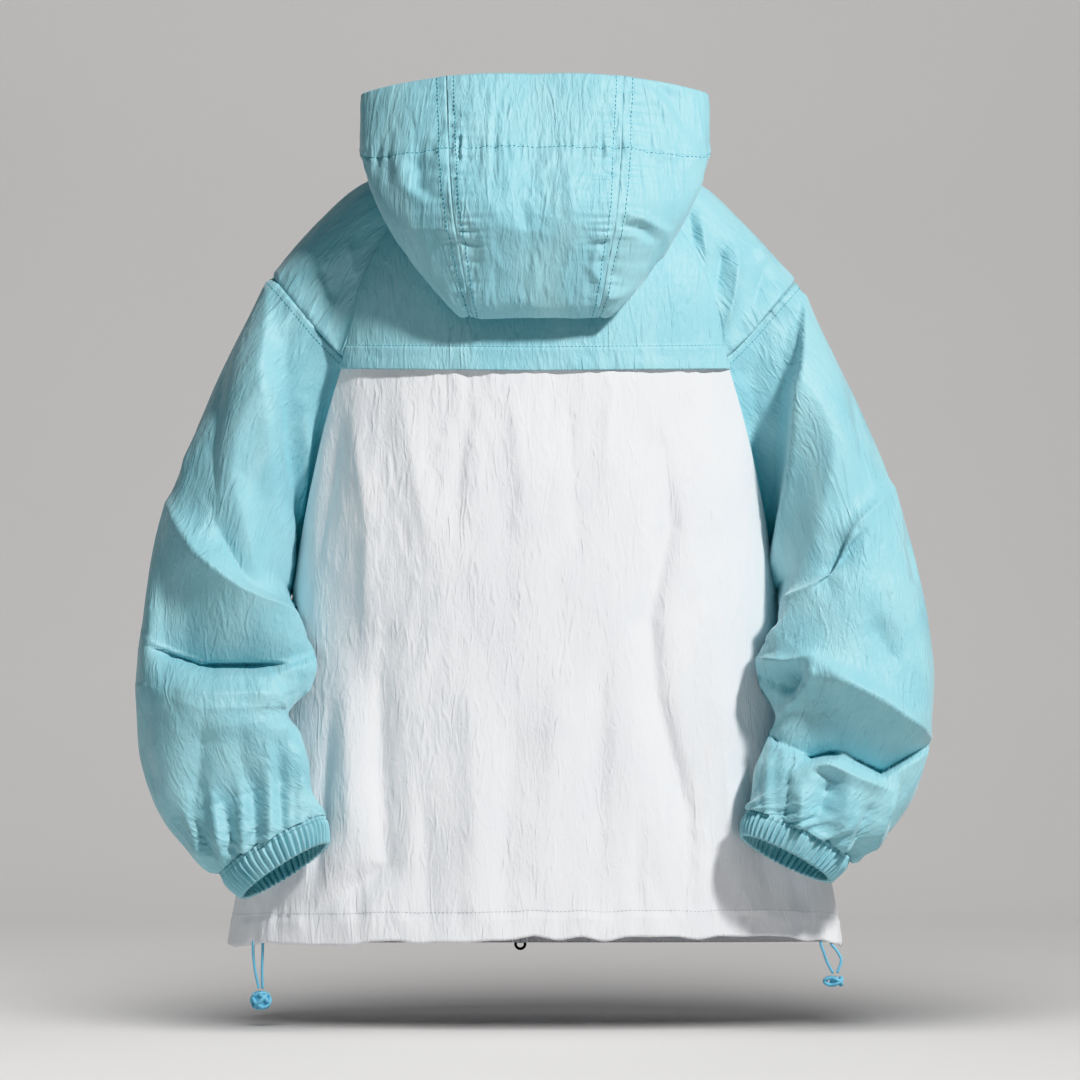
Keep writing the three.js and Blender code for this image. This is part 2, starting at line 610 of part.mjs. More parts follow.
makeSleeve('shoulder_left', 'left', UPPER_ROWS, [], ['first', 'last', 'bottom']);
makeSleeve('shoulder_right', 'right', UPPER_ROWS, [], ['first', 'last', 'bottom']);
makeSleeve('sleeve_left', 'left', SLEEVE_ROWS, LEFT_FOLDS, ['first', 'last', 'top']);
makeSleeve('sleeve_right', 'right', SLEEVE_ROWS, RIGHT_FOLDS, ['first', 'last', 'top']);

// Gathered cuff: a ring of pleats between the sleeve's end and the cuff edge
function makeCuff(name, side, sleeveRow, edge) {
  const count = PLEATS * POINTS_A_PLEAT;
  const turns = Array.from({ length: count }, (_, i) => (2 * Math.PI * i) / count);
  const place = (turn, share) => {
    const keys = Object.keys(edge);
    const row = Object.fromEntries(keys.map((key) => [key, mix(sleeveRow[key], edge[key], share)]));
    const outer = vector(side * row.outX, row.mid, row.outZ);
    const inner = vector(side * row.inX, row.mid, row.inZ);
    const pleat = PLEAT_DEPTH * Math.sin(PLEATS * turn) * Math.min(1, PLEAT_START + PLEAT_GROWTH * share);
    const grown = 1 + pleat / row.deep;
    const point = outer.clone().add(inner).multiplyScalar(0.5);
    point.addScaledVector(outer.clone().sub(inner), 0.5 * Math.cos(turn) * (1 + pleat / CUFF_HALF_WIDTH));
    point.y += row.deep * Math.sin(turn) * grown;
    point.z += row.slope * row.deep * Math.sin(turn) * grown;
    return point;
  };
  const points = [CUFF_GAP / CUFF_FALL, 1].map((share) => turns.map((turn) => place(turn, share)));
  const normals = gridNormals(points, -side, true);
  addPiece(name, wall(points, normals, CUFF_WALL, -side, true), AQUA, 0.6);
}
makeCuff('cuff_left', 1, LEFT_SLEEVE.at(-1), LEFT_CUFF_EDGE);
makeCuff('cuff_right', -1, RIGHT_SLEEVE.at(-1), RIGHT_CUFF_EDGE);

// Hood surface: across -1 to 1 from one front end over the back to the other, down 0 rim to 1 neck
function hoodSurface() {
  const keys = Object.keys(HOOD_STATIONS);
  const turns = keys.map((key) => ({ at: HOOD_STATIONS[key], turn: HOOD_NECK_TURNS[key] }));
  const turnAt = through(turns, 'at', 'turn');
  const rows = HOOD.map((row) => ({ ...row, cx: 0 })).concat([{ level: 1 }]);
  for (const [key, turn] of Object.entries(HOOD_NECK_TURNS)) {
    const neck = neckPoint(turn, 1);
    for (const axis of ['x', 'y', 'z']) {
      for (const row of rows) row[key + axis] = row.level < 1 ? row[key + axis] - neck[axis] : 0;
    }
  }
  const column = {};
  for (const key of keys) {
    for (const axis of ['x', 'y', 'z']) column[key + axis] = through(rows, 'level', key + axis);
  }
  return (across, down) => {
    const stations = keys.map((key) => ({
      at: HOOD_STATIONS[key],
      x: column[`${key}x`](down),
      y: column[`${key}y`](down),
      z: column[`${key}z`](down),
    }));
    const mirror = { ...stations[1], at: -stations[1].at, x: -stations[1].x };
    const line = [mirror, ...stations];
    const at = Math.abs(across);
    const point = vector(...['x', 'y', 'z'].map((axis) => through(line, 'at', axis)(at)));
    point.add(neckPoint(turnAt(at), 1));
    point.z += HOOD_NECK_LIFT;
    if (across < 0) point.x = -point.x;
    return point;
  };
}

function makeHood() {
  const surface = hoodSurface();
  const parts = {
    hood_left: spread(14, HOOD_SEAM, 1),
    hood_centre: spread(10, -HOOD_SEAM, HOOD_SEAM),
    hood_right: spread(14, -1, -HOOD_SEAM),
  };
  const seam = { left: null, right: null };
  for (const [name, side] of [['left', 1], ['right', -1]]) {
    seam[name] = HOOD_ROWS.map((down) => normalOf((a, d) => surface(side * a, d), HOOD_SEAM, down, side));
  }
  for (const [name, columns] of Object.entries(parts)) {
    const grid = gridOf(HOOD_ROWS, columns, surface);
    const normals = gridNormals(grid.points, 1, false);
    const last = columns.length - 1;
    const trims = [];
    if (name !== 'hood_right') trims.push(['hood_left' === name ? 'first' : 'last', 'left']);
    if (name !== 'hood_left') trims.push(['hood_right' === name ? 'last' : 'first', 'right']);
    for (const [edge, side] of trims) {
      HOOD_ROWS.forEach((_, j) => {
        normals[j][edge === 'first' ? 0 : last] = seam[side][j];
      });
      trimEdge(grid.points, edge, SEAM_GAP / 2);
    }
    addPiece(name, wall(grid.points, normals, WALL, 1, false), AQUA, 0.55);
  }
}
makeHood();

// Point on the front at a distance from the zip's middle
function zipPoint(offset, level) {
  const z = rowHeight('front', neckPoint(180, 1).z, level, 0);
  const x = zipMiddle(level) + offset;
  const turn = 180 - Math.asin(Math.abs(x) / NECK_HALF_WIDTH) * 180 / Math.PI;
  const point = ringPoint('front', angleAt(x, z), z);
  const fade = Math.max(0, 1 - level / NECK_FADE) ** 2;
  const top = neckPoint(turn, Math.sign(x) || 1);
  return point.add(top.sub(ringPoint('front', angleAt(x, top.z), top.z)).multiplyScalar(fade));
}

function makeZipTape(name, side) {
  const offsets = [side * SEAM_GAP / 2, side * TAPE_WIDTH];
  const points = FRONT_ROWS.map((level) => offsets.map((offset) => zipPoint(offset, level)));
  const normals = gridNormals(points, -side, false);
  for (const normal of normals.flat()) normal.setX(0).normalize();
  addPiece(name, wall(points, normals, WALL, -side, false), WHITE, 0.7);
}
makeZipTape('zip_tape_left', 1);
makeZipTape('zip_tape_right', -1);

// Slider body with cut corners, its flat back just off the tapes, and the eye that holds the ring
function makeSlider(name, ringName, level) {
  const seat = zipPoint(0, level);
  const above = zipPoint(0, level - 0.02);
  const lean = Math.atan2(above.y - seat.y, above.z - seat.z);
  const outline = new THREE.Shape();
  const w = SLIDER_WIDTH / 2;
  const h = SLIDER_HEIGHT / 2;
  outline.moveTo(-w + SLIDER_CORNER, -h);
  outline.lineTo(w - SLIDER_CORNER, -h);
  outline.lineTo(w, -h + 3 * SLIDER_CORNER);
  outline.lineTo(w - SLIDER_CORNER / 2, h);
  outline.lineTo(-w + SLIDER_CORNER / 2, h);
  outline.lineTo(-w, -h + 3 * SLIDER_CORNER);
  const body = new THREE.ExtrudeGeometry(outline, { depth: SLIDER_THICK, bevelEnabled: false });
  body.rotateX(Math.PI / 2);
  body.translate(0, -SLIDER_OFF, 0);
  body.rotateX(-lean);
  body.translate(seat.x, seat.y, seat.z);
  addPiece(name, body, BLACK, 0.35, 0.8);
  const eye = vector(0, -SLIDER_OFF - SLIDER_THICK - EYE_GAP - BAIL_RADIUS - BAIL_WIRE, EYE_DROP);
  eye.applyAxisAngle(vector(1, 0, 0), -lean).add(seat);
  const bail = new THREE.TorusGeometry(BAIL_RADIUS, BAIL_WIRE, ...BAIL_SIDES);
  bail.rotateY(Math.PI / 2);
  bail.translate(eye.x, eye.y, eye.z);
  addPiece(`${name}_eye`, bail, BLACK, 0.35, 0.8);
  const ring = new THREE.TorusGeometry(RING_RADIUS, RING_WIRE, ...RING_SIDES);
  ring.rotateX(Math.PI / 2);
  ring.translate(eye.x, eye.y, eye.z - RING_RADIUS);
  addPiece(ringName, ring, BLACK, 0.4, 0.6);
}
makeSlider('slider_lower', 'pull_lower', 1.983);
makeSlider('slider_upper', 'pull_upper', 0.1);

// Drawcord strand along its route
function makeCord(name, route) {
  const path = new THREE.CatmullRomCurve3(route.map((p) => vector(...p)));
  const section = new THREE.Shape();
  for (let i = 0; i < CORD_SIDES; i += 1) {
    const angle = (2 * Math.PI * i) / CORD_SIDES;
    const x = (CORD_DIAMETER / 2) * Math.cos(angle);
    const y = (CORD_DIAMETER / 2) * Math.sin(angle);
    if (i === 0) section.moveTo(x, y);
    else section.lineTo(x, y);
  }
  const along = { steps: CORD_STEPS, extrudePath: path, bevelEnabled: false };
  const geometry = new THREE.ExtrudeGeometry(section, along);
  addPiece(name, geometry, CORD_BLUE, 0.7);
}
for (const [name, route] of Object.entries(CORDS)) makeCord(name, route);

function makeKnot(name, knot) {
  const ball = new THREE.SphereGeometry(1, ...KNOT_SIDES);
  ball.rotateX(Math.PI / 2);
  ball.scale(knot.rx, knot.ry, knot.rz);
  ball.translate(knot.x, knot.y, knot.z);
  addPiece(name, ball, CORD_BLUE, 0.7);
}
makeKnot('knot_left', KNOT_LEFT);
makeKnot('knot_right', KNOT_RIGHT);

export default jacket;
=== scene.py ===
"""Hooded windbreaker seen from behind, filled out as worn: cloth shells, sewing, zip and drawcord."""
import math
from functools import partial

import bpy
import numpy as np
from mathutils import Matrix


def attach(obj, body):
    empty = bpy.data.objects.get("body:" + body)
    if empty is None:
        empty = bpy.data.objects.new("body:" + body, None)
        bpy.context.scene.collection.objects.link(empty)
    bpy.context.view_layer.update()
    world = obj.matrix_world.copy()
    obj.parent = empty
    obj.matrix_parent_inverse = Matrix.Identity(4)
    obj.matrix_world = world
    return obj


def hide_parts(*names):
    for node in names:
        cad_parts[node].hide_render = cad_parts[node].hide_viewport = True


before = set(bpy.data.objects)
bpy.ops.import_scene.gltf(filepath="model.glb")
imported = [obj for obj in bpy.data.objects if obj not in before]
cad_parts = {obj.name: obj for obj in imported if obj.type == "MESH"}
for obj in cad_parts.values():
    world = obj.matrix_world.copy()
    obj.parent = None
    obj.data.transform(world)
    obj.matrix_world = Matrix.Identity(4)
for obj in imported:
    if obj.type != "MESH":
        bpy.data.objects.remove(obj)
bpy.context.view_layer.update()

# Camera. The picture is square-on to the jacket's back at its own mid height, from far enough
# away that sleeves and hem keep their proportions.
MM = 0.001
VIEW_DISTANCE = 5.0
PICTURE_WIDTH = 0.9936
VIEW_CENTRE = (-0.0046, 0.0, -0.3128)
SENSOR = 36.0

camera_data = bpy.data.cameras.new("camera")
camera_data.sensor_width = SENSOR
camera_data.sensor_fit = "HORIZONTAL"
camera_data.lens = SENSOR * VIEW_DISTANCE / PICTURE_WIDTH
camera_data.clip_end = 30
camera = bpy.data.objects.new("camera", camera_data)
camera.location = (VIEW_CENTRE[0], VIEW_DISTANCE, VIEW_CENTRE[2])
camera.rotation_euler = (math.pi / 2, 0, math.pi)
bpy.context.scene.collection.objects.link(camera)
bpy.context.scene.camera = camera
bpy.context.scene.view_settings.view_transform = "Khronos PBR Neutral"

# Hem drawcord. Braided elastic, 2.6 mm round, that runs in the hem casing and leaves it at each
# side as two strands, knotted together at their free ends.
CORD_DIAMETER = 2.6
BRAID_STARTS = 5
BRAID_PITCH = 9.0
BRAID_RELIEF = 0.09
STRAND_POINTS, STRAND_SIDES = 34, 20
CORD_BLUE = "#58b4d8"
CORD_PALE = "#8fd0ea"
STRANDS = {
    "cord_left_outer": [(256, 60.5, -677.1), (256, 61, -690), (254, 62, -705), (250.8, 62, -720.1)],
    "cord_left_inner": [(247, 67, -676.6), (247.3, 66.3, -690), (247.8, 64.2, -705), (247.4, 62.3, -720.1)],
    "cord_right_outer": [
        (-270, 44, -679), (-270.8, 44.4, -682), (-275.8, 46.5, -688), (-279, 49, -696), (-275.4, 50.3, -707),
    ],
    "cord_right_inner": [
        (-260, 56, -677.8), (-260.3, 56, -681), (-262.8, 55.8, -688), (-266, 54, -697), (-271.2, 51.2, -707),
    ],
}
KNOT_CORD, KNOT_SIDES = 1.75, 12
# Each knot: its centre, the reach of its cord, the size of its core, wraps, crossings and swing
KNOTS = {
    "knot_left": ((249, 62, -731), (7.6, 6.8, 8.6), (7.2, 6.4, 8.2), 5, 4, 1.05),
    "knot_right": ((-273, 50.5, -714.6), (8.3, 4.6, 5.2), (4.4, 3.6, 3.8), 2, 3, 0.75),
}


def linear(code):
    """Colour from an sRGB hex code: each channel put through the sRGB curve to linear light."""
    parts = [int(code[i:i + 2], 16) / 255 for i in (1, 3, 5)]
    return tuple(c / 12.92 if c <= 0.04045 else ((c + 0.055) / 1.055) ** 2.4 for c in parts) + (1.0,)


def add(tree, kind, inputs=None, **settings):
    """Adds a node, sets its properties, and gives its inputs a value or a link from an output."""
    made = tree.nodes.new(kind)
    for name, value in settings.items():
        setattr(made, name, value)
    for name, value in (inputs or {}).items():
        if isinstance(value, bpy.types.NodeSocket):
            tree.links.new(value, made.inputs[name])
        else:
            made.inputs[name].default_value = value
    return made


def surface_material(name, **sockets):
    """A material with one Principled shader, its even values set on its own sockets."""
    material = bpy.data.materials.new(name)
    material.use_nodes = True
    shader = material.node_tree.nodes["Principled BSDF"]
    for socket, value in sockets.items():
        shader.inputs[socket.replace("_", " ")].default_value = value
    return material, material.node_tree, shader


def patterned(name, texture, inputs, low, high, bump=None, rough=None, settings=None, **sockets):
    """A material that one small pattern runs from tone to tone, and whose bump or roughness follows it."""
    material, tree, shader = surface_material(name, **sockets)
    place = add(tree, "ShaderNodeTexCoord").outputs["Object"]
    pattern = add(tree, texture, {"Vector": place, **inputs}, **(settings or {})).outputs["Fac"]
    blend = add(tree, "ShaderNodeMix", {"Factor": pattern}, data_type="RGBA")
    blend.inputs[6].default_value, blend.inputs[7].default_value = low, high
    tree.links.new(blend.outputs[2], shader.inputs["Base Color"])
    if bump is not None:
        made = add(tree, "ShaderNodeBump", {"Height": pattern, "Strength": bump[0], "Distance": bump[1]})
        tree.links.new(made.outputs["Normal"], shader.inputs["Normal"])
    if rough is not None:
        made = add(tree, "ShaderNodeMapRange", {"Value": pattern, "To Min": rough[0], "To Max": rough[1]})
        tree.links.new(made.outputs[0], shader.inputs["Roughness"])
    return material


def put_mesh(name, points, faces, material, uv=None):
    """Mesh object from rows of points in millimetres and faces that name them, placed at the origin."""
    mesh = bpy.data.meshes.new(name)
    points = np.asarray(points, dtype=np.float64).reshape(-1, 3) * MM
    faces = np.asarray(faces, dtype=np.int32)
    sides = faces.shape[1]
    mesh.vertices.add(len(points))
    mesh.vertices.foreach_set("co", points.ravel())
    mesh.loops.add(faces.size)
    mesh.loops.foreach_set("vertex_index", faces.ravel())
    mesh.polygons.add(len(faces))
    mesh.polygons.foreach_set("loop_start", np.arange(0, faces.size, sides, dtype=np.int32))
    mesh.polygons.foreach_set("use_smooth", np.ones(len(faces), dtype=bool))
    if uv is not None:
        layer = mesh.uv_layers.new(name="cloth")
        layer.data.foreach_set("uv", np.asarray(uv, dtype=np.float32)[faces.ravel()].ravel())
    mesh.update(calc_edges=True)
    mesh.validate()
    mesh.materials.append(material)
    piece = bpy.data.objects.new(name, mesh)
    bpy.context.scene.collection.objects.link(piece)
    return piece


def spline(knots, count):
    """Catmull-Rom curve: cubics whose slope at each knot is half the step between its neighbours."""
    knots = np.asarray(knots, dtype=float)
    padded = np.vstack([2 * knots[0] - knots[1], knots, 2 * knots[-1] - knots[-2]])
    t = np.linspace(0, len(knots) - 1, count)
    i = np.minimum(t.astype(int), len(knots) - 2)
    f = (t - i)[:, None]
    a, b, c, d = padded[i], padded[i + 1], padded[i + 2], padded[i + 3]
    return 0.5 * (2 * b + (c - a) * f + (2 * a - 5 * b + 4 * c - d) * f**2 + (3 * b - a - 3 * c + d) * f**3)


def frames_along(path, closed=False):
    """Unit tangent at each point, the side square to it and to a fixed guide, and their cross product."""
    if closed:
        tangent = np.roll(path, -1, axis=0) - np.roll(path, 1, axis=0)
    else:
        tangent = np.gradient(path, axis=0)
    tangent /= np.linalg.norm(tangent, axis=1)[:, None]
    guide = np.where(np.abs(tangent[:, 1:2]) < 0.9, [[0.0, 1.0, 0.0]], [[1.0, 0.0, 0.0]])
    side = np.cross(guide, tangent)
    side /= np.linalg.norm(side, axis=1)[:, None]
    return tangent, side, np.cross(tangent, side)


def grid_faces(rows, wide, rows_close=False, columns_close=True):
    """Quads of a grid of points, numbered along its rows; its last row or column may close on its first."""
    down, across = rows - (not rows_close), wide - (not columns_close)
    j, i = np.meshgrid(np.arange(down), np.arange(across), indexing="ij")
    low, high = j * wide, (j + 1) % rows * wide
    after = (i + 1) % wide
    return np.stack([low + i, low + after, high + after, high + i], axis=-1).reshape(-1, 4)


def pole_faces(rows, around):
    """Fans of quads from two poles, numbered after the grid, to its first and its last ring."""
    k, top = np.arange(0, around, 2), (rows - 1) * around
    low, high = np.full_like(k, rows * around), np.full_like(k, rows * around + 1)
    cap = np.stack([low, (k + 2) % around, k + 1, k], axis=-1)
    lid = np.stack([high, top + k, top + k + 1, top + (k + 2) % around], axis=-1)
    return np.vstack([cap, lid])


def tube(path, radius, around, closed=False, relief=None):
    """Tube: a circle of the radius, times one plus its relief, carried along the path."""
    path = np.asarray(path, dtype=float)
    _, side, up = frames_along(path, closed)
    turn = np.linspace(0, 2 * np.pi, around, endpoint=False)
    grown = radius * np.ones((len(path), around))
    if relief is not None:
        step = np.linalg.norm(np.diff(path, axis=0), axis=1)
        run = np.concatenate([[0], np.cumsum(step)])
        grown *= 1 + relief(turn[None, :], run[:, None])
    ring = side[:, None] * np.cos(turn)[None, :, None] + up[:, None] * np.sin(turn)[None, :, None]
    points = (path[:, None] + ring * grown[..., None]).reshape(-1, 3)
    faces = grid_faces(len(path), around, rows_close=closed)
    if closed:
        return points, faces
    return np.vstack([points, path[0], path[-1]]), np.vstack([faces, pole_faces(len(path), around)])


def braid(turn, run):
    """Height of a braid: where yarns that wind left and yarns that wind right both stand high."""
    wind = 2 * np.pi * run / BRAID_PITCH
    left, right = np.cos(BRAID_STARTS * (turn + wind)), np.cos(BRAID_STARTS * (turn - wind))
    return BRAID_RELIEF * np.maximum(left, right)


def joined(parts):
    """Several (points, faces) pairs as one pair, the faces renumbered."""
    starts = np.cumsum([0] + [len(points) for points, _ in parts[:-1]])
    return np.vstack([p for p, _ in parts]), np.vstack([f + s for (_, f), s in zip(parts, starts)])


def on_jacket(piece, node=None):
    """The piece rides with the jacket and stands for its node if it has one."""
    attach(piece, "jacket")
    if node is not None:
        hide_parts(node)
    return piece


# Dyed polyester braid: soft shine, a little paler where the yarns stand proud
cord_finish = patterned(
    "braided_polyester", "ShaderNodeTexNoise", {"Scale": 1400, "Detail": 3},
    linear(CORD_BLUE), linear(CORD_PALE), bump=(0.5, 0.0003), Roughness=0.5, Sheen_Weight=0.3,
)
for strand, knots in STRANDS.items():
    route = spline(knots, STRAND_POINTS)
    cord = tube(route, CORD_DIAMETER / 2 / (1 + BRAID_RELIEF), STRAND_SIDES, relief=braid)
    piece = on_jacket(put_mesh(f"{strand}_braid", *cord, cord_finish), strand)


def knot_ball(centre, radii, wraps, crossings, swing):
    """Turk's head: a closed cord round a ball, its latitude a sine of many turns as it laps the axis."""
    t = np.linspace(0, 2 * np.pi, 260, endpoint=False)
    latitude = swing * np.sin(crossings * t)
    longitude = wraps * t
    lift = 1 + 0.1 * np.cos(2 * crossings * t)
    return np.array(centre) + np.array(radii) * lift[:, None] * np.stack(
        [np.cos(latitude) * np.cos(longitude), np.cos(latitude) * np.sin(longitude), np.sin(latitude)], axis=1
    )


def ball(centre, radii, around=16, rings=9):
    """Closed ball: rings of latitude with a point at each pole, fans made of narrow quads."""
    latitude = np.linspace(-np.pi / 2 + 0.12, np.pi / 2 - 0.12, rings)
    path = np.stack([0 * latitude, 0 * latitude, np.sin(latitude)], axis=1)
    turn = np.linspace(0, 2 * np.pi, around, endpoint=False)
    ring = np.stack([np.cos(turn), np.sin(turn), 0 * turn], axis=1)
    points = (path[:, None] + np.cos(latitude)[:, None, None] * ring[None]).reshape(-1, 3)
    points = np.vstack([points, [[0, 0, -1], [0, 0, 1]]])
    faces = np.vstack([grid_faces(rings, around), pole_faces(rings, around)])
    return np.array(centre) + np.array(radii) * points, faces


knot_pieces = {}
for node, (centre, reach, core, wraps, crossings, swing) in KNOTS.items():
    wrapped = tube(knot_ball(centre, reach, wraps, crossings, swing), KNOT_CORD, KNOT_SIDES, closed=True)
    knot_pieces[node] = put_mesh(f"{node}_wraps", *joined([wrapped, ball(centre, core)]), cord_finish)
for node, piece in knot_pieces.items():
    on_jacket(piece, node)

# Back. White crinkled nylon, plain cut, sewn into the raglan seams and turned up at the hem into
# a casing for the drawcord. The body is a rounded oblong at every height, deepest at the chest.
UNDERARM_Z = -363
HEM_BACK_Z, HEM_SIDE_Z, HEM_FRONT_Z = -672, -682, -692
DROP_SEAM = 0.43
YOKE_LIFT_FROM, YOKE_LIFTED, BACK_TOP, YOKE_STITCH, YOKE_HEM = 0.4, 0.41, 0.415, 0.402, 0.46
CASING_TOP, CASING_FULL, CASING_STITCH = 1.925, 1.935, 1.922
# Millimetres down one level above the underarm and below it, and across half the back and the yoke
UPPER_RUN, BACK_SKIRT_RUN, FRONT_SKIRT_RUN, HALF_BACK, HALF_YOKE = 375, 317, 325, 200, 160
UPPER_ROWS, SKIRT_ROWS, BACK_COLUMNS = 80, 110, 193
CLOTH = 0.7
YOKE_LIFT = 1.6
CASING_STEP = 0.6
HEM_WAVE = 4.4
NECK_HALF_WIDTH, NECK_BACK, NECK_FRONT = 92, 72, 80
BACK_SEAM_TURN, FRONT_SEAM_TURN = 50, 135
NECK_FADE = 0.3
ROUNDNESS = 2.5
TAPE_WIDTH, ZIP_SWING = 7, 14
WHITE_LIT = "#f7f8fb"
WHITE_SHADE = "#eff1f5"

NECK = dict(turn=(0, 50, 90, 135, 180), z=(12, 17, 24, -8, -45))
BODY = dict(
    drop=(-30, -12, 18, 75, 143, 202, 267, 331, 363, 423, 500, 580, 640, 700),
    half=(120, 131, 172, 196, 204, 211, 216, 220, 222.6, 231, 245, 262, 275, 285),
    back=(66, 72, 84, 101, 112, 115, 117, 116, 115, 113, 113, 114, 115, 116),
    front=(70, 74, 84, 103, 116, 121, 124, 124, 123, 122, 121, 121, 121, 121),
)
RAGLAN_CUT = dict(
    level=(0, 0.12, 0.25, 0.43, 0.58, 0.75, 0.9, 1),
    back=(37, 45, 49.5, 54.5, 61, 69.5, 79, 90),
    front=(34, 42, 46, 52, 59, 68, 78.5, 90),
)
# Folds as seen from behind: a line of x and z, its half width, its height, and how it leans
BACK_FOLDS = [
    ([(139, -405), (143, -515), (136, -605), (198, -650)], 13, -6, 0.4),
    ([(-117, -230), (-125, -300), (-105, -385), (-112, -455), (-139, -560), (-139, -640)], 12, -6, -0.4),
    ([(120, -180), (95, -330)], 12, 2.4, 0), ([(60, -170), (72, -300)], 9, -1.8, 0),
    ([(20, -175), (10, -290)], 8, 1.6, 0), ([(-30, -170), (-38, -330)], 9, -1.8, 0),
    ([(-70, -175), (-60, -260)], 8, 1.6, 0), ([(165, -200), (150, -300), (152, -420)], 12, 2.8, 0.3),
    ([(170, -430), (165, -600)], 14, 3.4, 0), ([(185, -470), (200, -640)], 10, -3.4, 0),
    ([(60, -420), (52, -640)], 16, 2.6, 0.3), ([(20, -450), (30, -650)], 10, -2.2, 0),
    ([(-20, -430), (-10, -640)], 14, 2.2, 0), ([(-60, -400), (-58, -640)], 12, -2.4, 0),
    ([(-165, -420), (-180, -640)], 14, 3.4, 0), ([(-190, -480), (-215, -650)], 10, -3, 0),
    ([(100, -540), (96, -655)], 9, -2.6, 0), ([(-95, -560), (-90, -655)], 8, -2.4, 0),
    ([(230, -560), (238, -660)], 9, -3, 0), ([(-228, -560), (-240, -660)], 9, -3, 0),
    ([(175, -200), (196, -330)], 8, -2, 0), ([(-172, -210), (-190, -340)], 8, -2, 0),
]


def cubic(at, value, x):
    """Cubic through values at their stations, the slope at each taken between its neighbours.

    The values are one row for all places, or a row of its own on the last axis for each place.
    """
    at, value, x = (np.asarray(given, dtype=float) for given in (at, value, x))
    k = np.arange(len(at))
    low, high = np.maximum(k - 1, 0), np.minimum(k + 1, len(at) - 1)
    slope = (value[..., high] - value[..., low]) / (at[high] - at[low])
    i = np.clip(np.searchsorted(at, x, side="left") - 1, 0, len(at) - 2)
    step = at[i + 1] - at[i]
    t = np.clip((x - at[i]) / step, 0, 1)

    def near(row, index):
        return row[index] if row.ndim == 1 else np.take_along_axis(row, index[..., None], axis=-1)[..., 0]

    ends = near(value, i) * (1 + 2 * t) * (1 - t) ** 2 + near(value, i + 1) * (3 - 2 * t) * t**2
    return ends + step * (near(slope, i) * t * (1 - t) ** 2 - near(slope, i + 1) * t**2 * (1 - t))


def through(table, by, name):
    """One column of a table as a function of another: the cubic through its rows."""
    return partial(cubic, table[by], table[name])


half_width = through(BODY, "drop", "half")
depth = {"back": through(BODY, "drop", "back"), "front": through(BODY, "drop", "front")}
neck_height = through(NECK, "turn", "z")
seam_turn = {face: through(RAGLAN_CUT, "level", face) for face in ("back", "front")}


def ease(x, low, high):
    """Smooth step from 0 at low to 1 at high: 3t squared less 2t cubed."""
    t = np.clip((np.asarray(x, dtype=float) - low) / (high - low), 0, 1)
    return t * t * (3 - 2 * t)


def neck_point(turn, side):
    """Oval of the neck opening: x by the sine and y by the cosine of the turn from the centre back."""
    angle = np.radians(turn)
    deep = np.where(turn < 90, NECK_BACK, NECK_FRONT)
    across = side * NECK_HALF_WIDTH * np.sin(angle)
    return np.stack([across, deep * np.cos(angle), neck_height(turn)], axis=-1)


def ring_point(face, angle, z):
    """Body ring: half width times the sine and depth times the cosine, each to the power 2 / roundness."""
    deep = depth[face](-z) * (1 if face == "back" else -1)
    across = np.sign(angle) * np.abs(np.sin(angle)) ** (2 / ROUNDNESS)
    out = np.maximum(np.cos(angle), 0) ** (2 / ROUNDNESS)
    return np.stack([half_width(-z) * across, deep * out, z], axis=-1)


def body_point(face, side, share, level):
    """Point of the body: share 0 at the centre or zip to 1 at the seam, level 0 neck, 1 underarm, 2 hem."""
    back = face == "back"
    middle = 0 * level if back else ZIP_SWING * ease(level, 0.8, 2) + side * (TAPE_WIDTH + 0.3)
    centre = 0 * level if back else 180 - np.degrees(np.arcsin(side * middle / NECK_HALF_WIDTH))
    neck = neck_point(centre + share * ((BACK_SEAM_TURN if back else FRONT_SEAM_TURN) - centre), side)
    hem = HEM_BACK_Z if back else HEM_FRONT_Z
    upper = neck[..., 2] + level * (UNDERARM_Z - neck[..., 2])
    lower = UNDERARM_Z + (level - 1) * (hem + share**2 * (HEM_SIDE_Z - hem) - UNDERARM_Z)
    z = np.where(level <= 1, upper, lower)

    def start(height):
        if back:
            return 0 * height
        share_out = np.minimum(np.abs(middle) / half_width(-height), 1)
        return np.sign(middle) * np.arcsin(share_out ** (ROUNDNESS / 2))

    cut = side * np.radians(seam_turn[face](np.minimum(level, 1)))
    point = ring_point(face, start(z) + share * (cut - start(z)), z)
    top = side * np.radians(seam_turn[face](0 * level))
    begin = start(neck[..., 2])
    offset = neck - ring_point(face, begin + share * (top - begin), neck[..., 2])
    return point + offset * (np.maximum(0, 1 - level / NECK_FADE) ** 2)[..., None]


def grid_normals(points, turn):
    """Unit normals of a grid: the cross product of its steps across and down, times the turn."""
    across, down = np.gradient(points, axis=1), np.gradient(points, axis=0)
    normal = np.cross(across, down) * turn
    return normal / np.maximum(np.linalg.norm(normal, axis=-1, keepdims=True), 1e-9)


def lumps(u, v, seed):
    """Smooth noise from -1 to 1: random heights at whole numbers, eased between them."""
    table = np.random.default_rng(seed).uniform(-1, 1, (256, 256))
    iu, iv = np.floor(u).astype(int), np.floor(v).astype(int)
    fu, fv = ease(u - iu, 0, 1), ease(v - iv, 0, 1)
    a, b = table[iu % 256, iv % 256], table[(iu + 1) % 256, iv % 256]
    c, d = table[iu % 256, (iv + 1) % 256], table[(iu + 1) % 256, (iv + 1) % 256]
    return (a * (1 - fu) + b * fu) * (1 - fv) + (c * (1 - fu) + d * fu) * fv


def creases(u, v, seed):
    """Sharp creases from 0 to 1: one less twice the size of smooth noise, its place warped by more."""
    warp = 0.6 * lumps(u * 0.6, v * 0.6, seed + 1)
    return 1 - 2 * np.abs(lumps(u + warp, v + warp, seed))


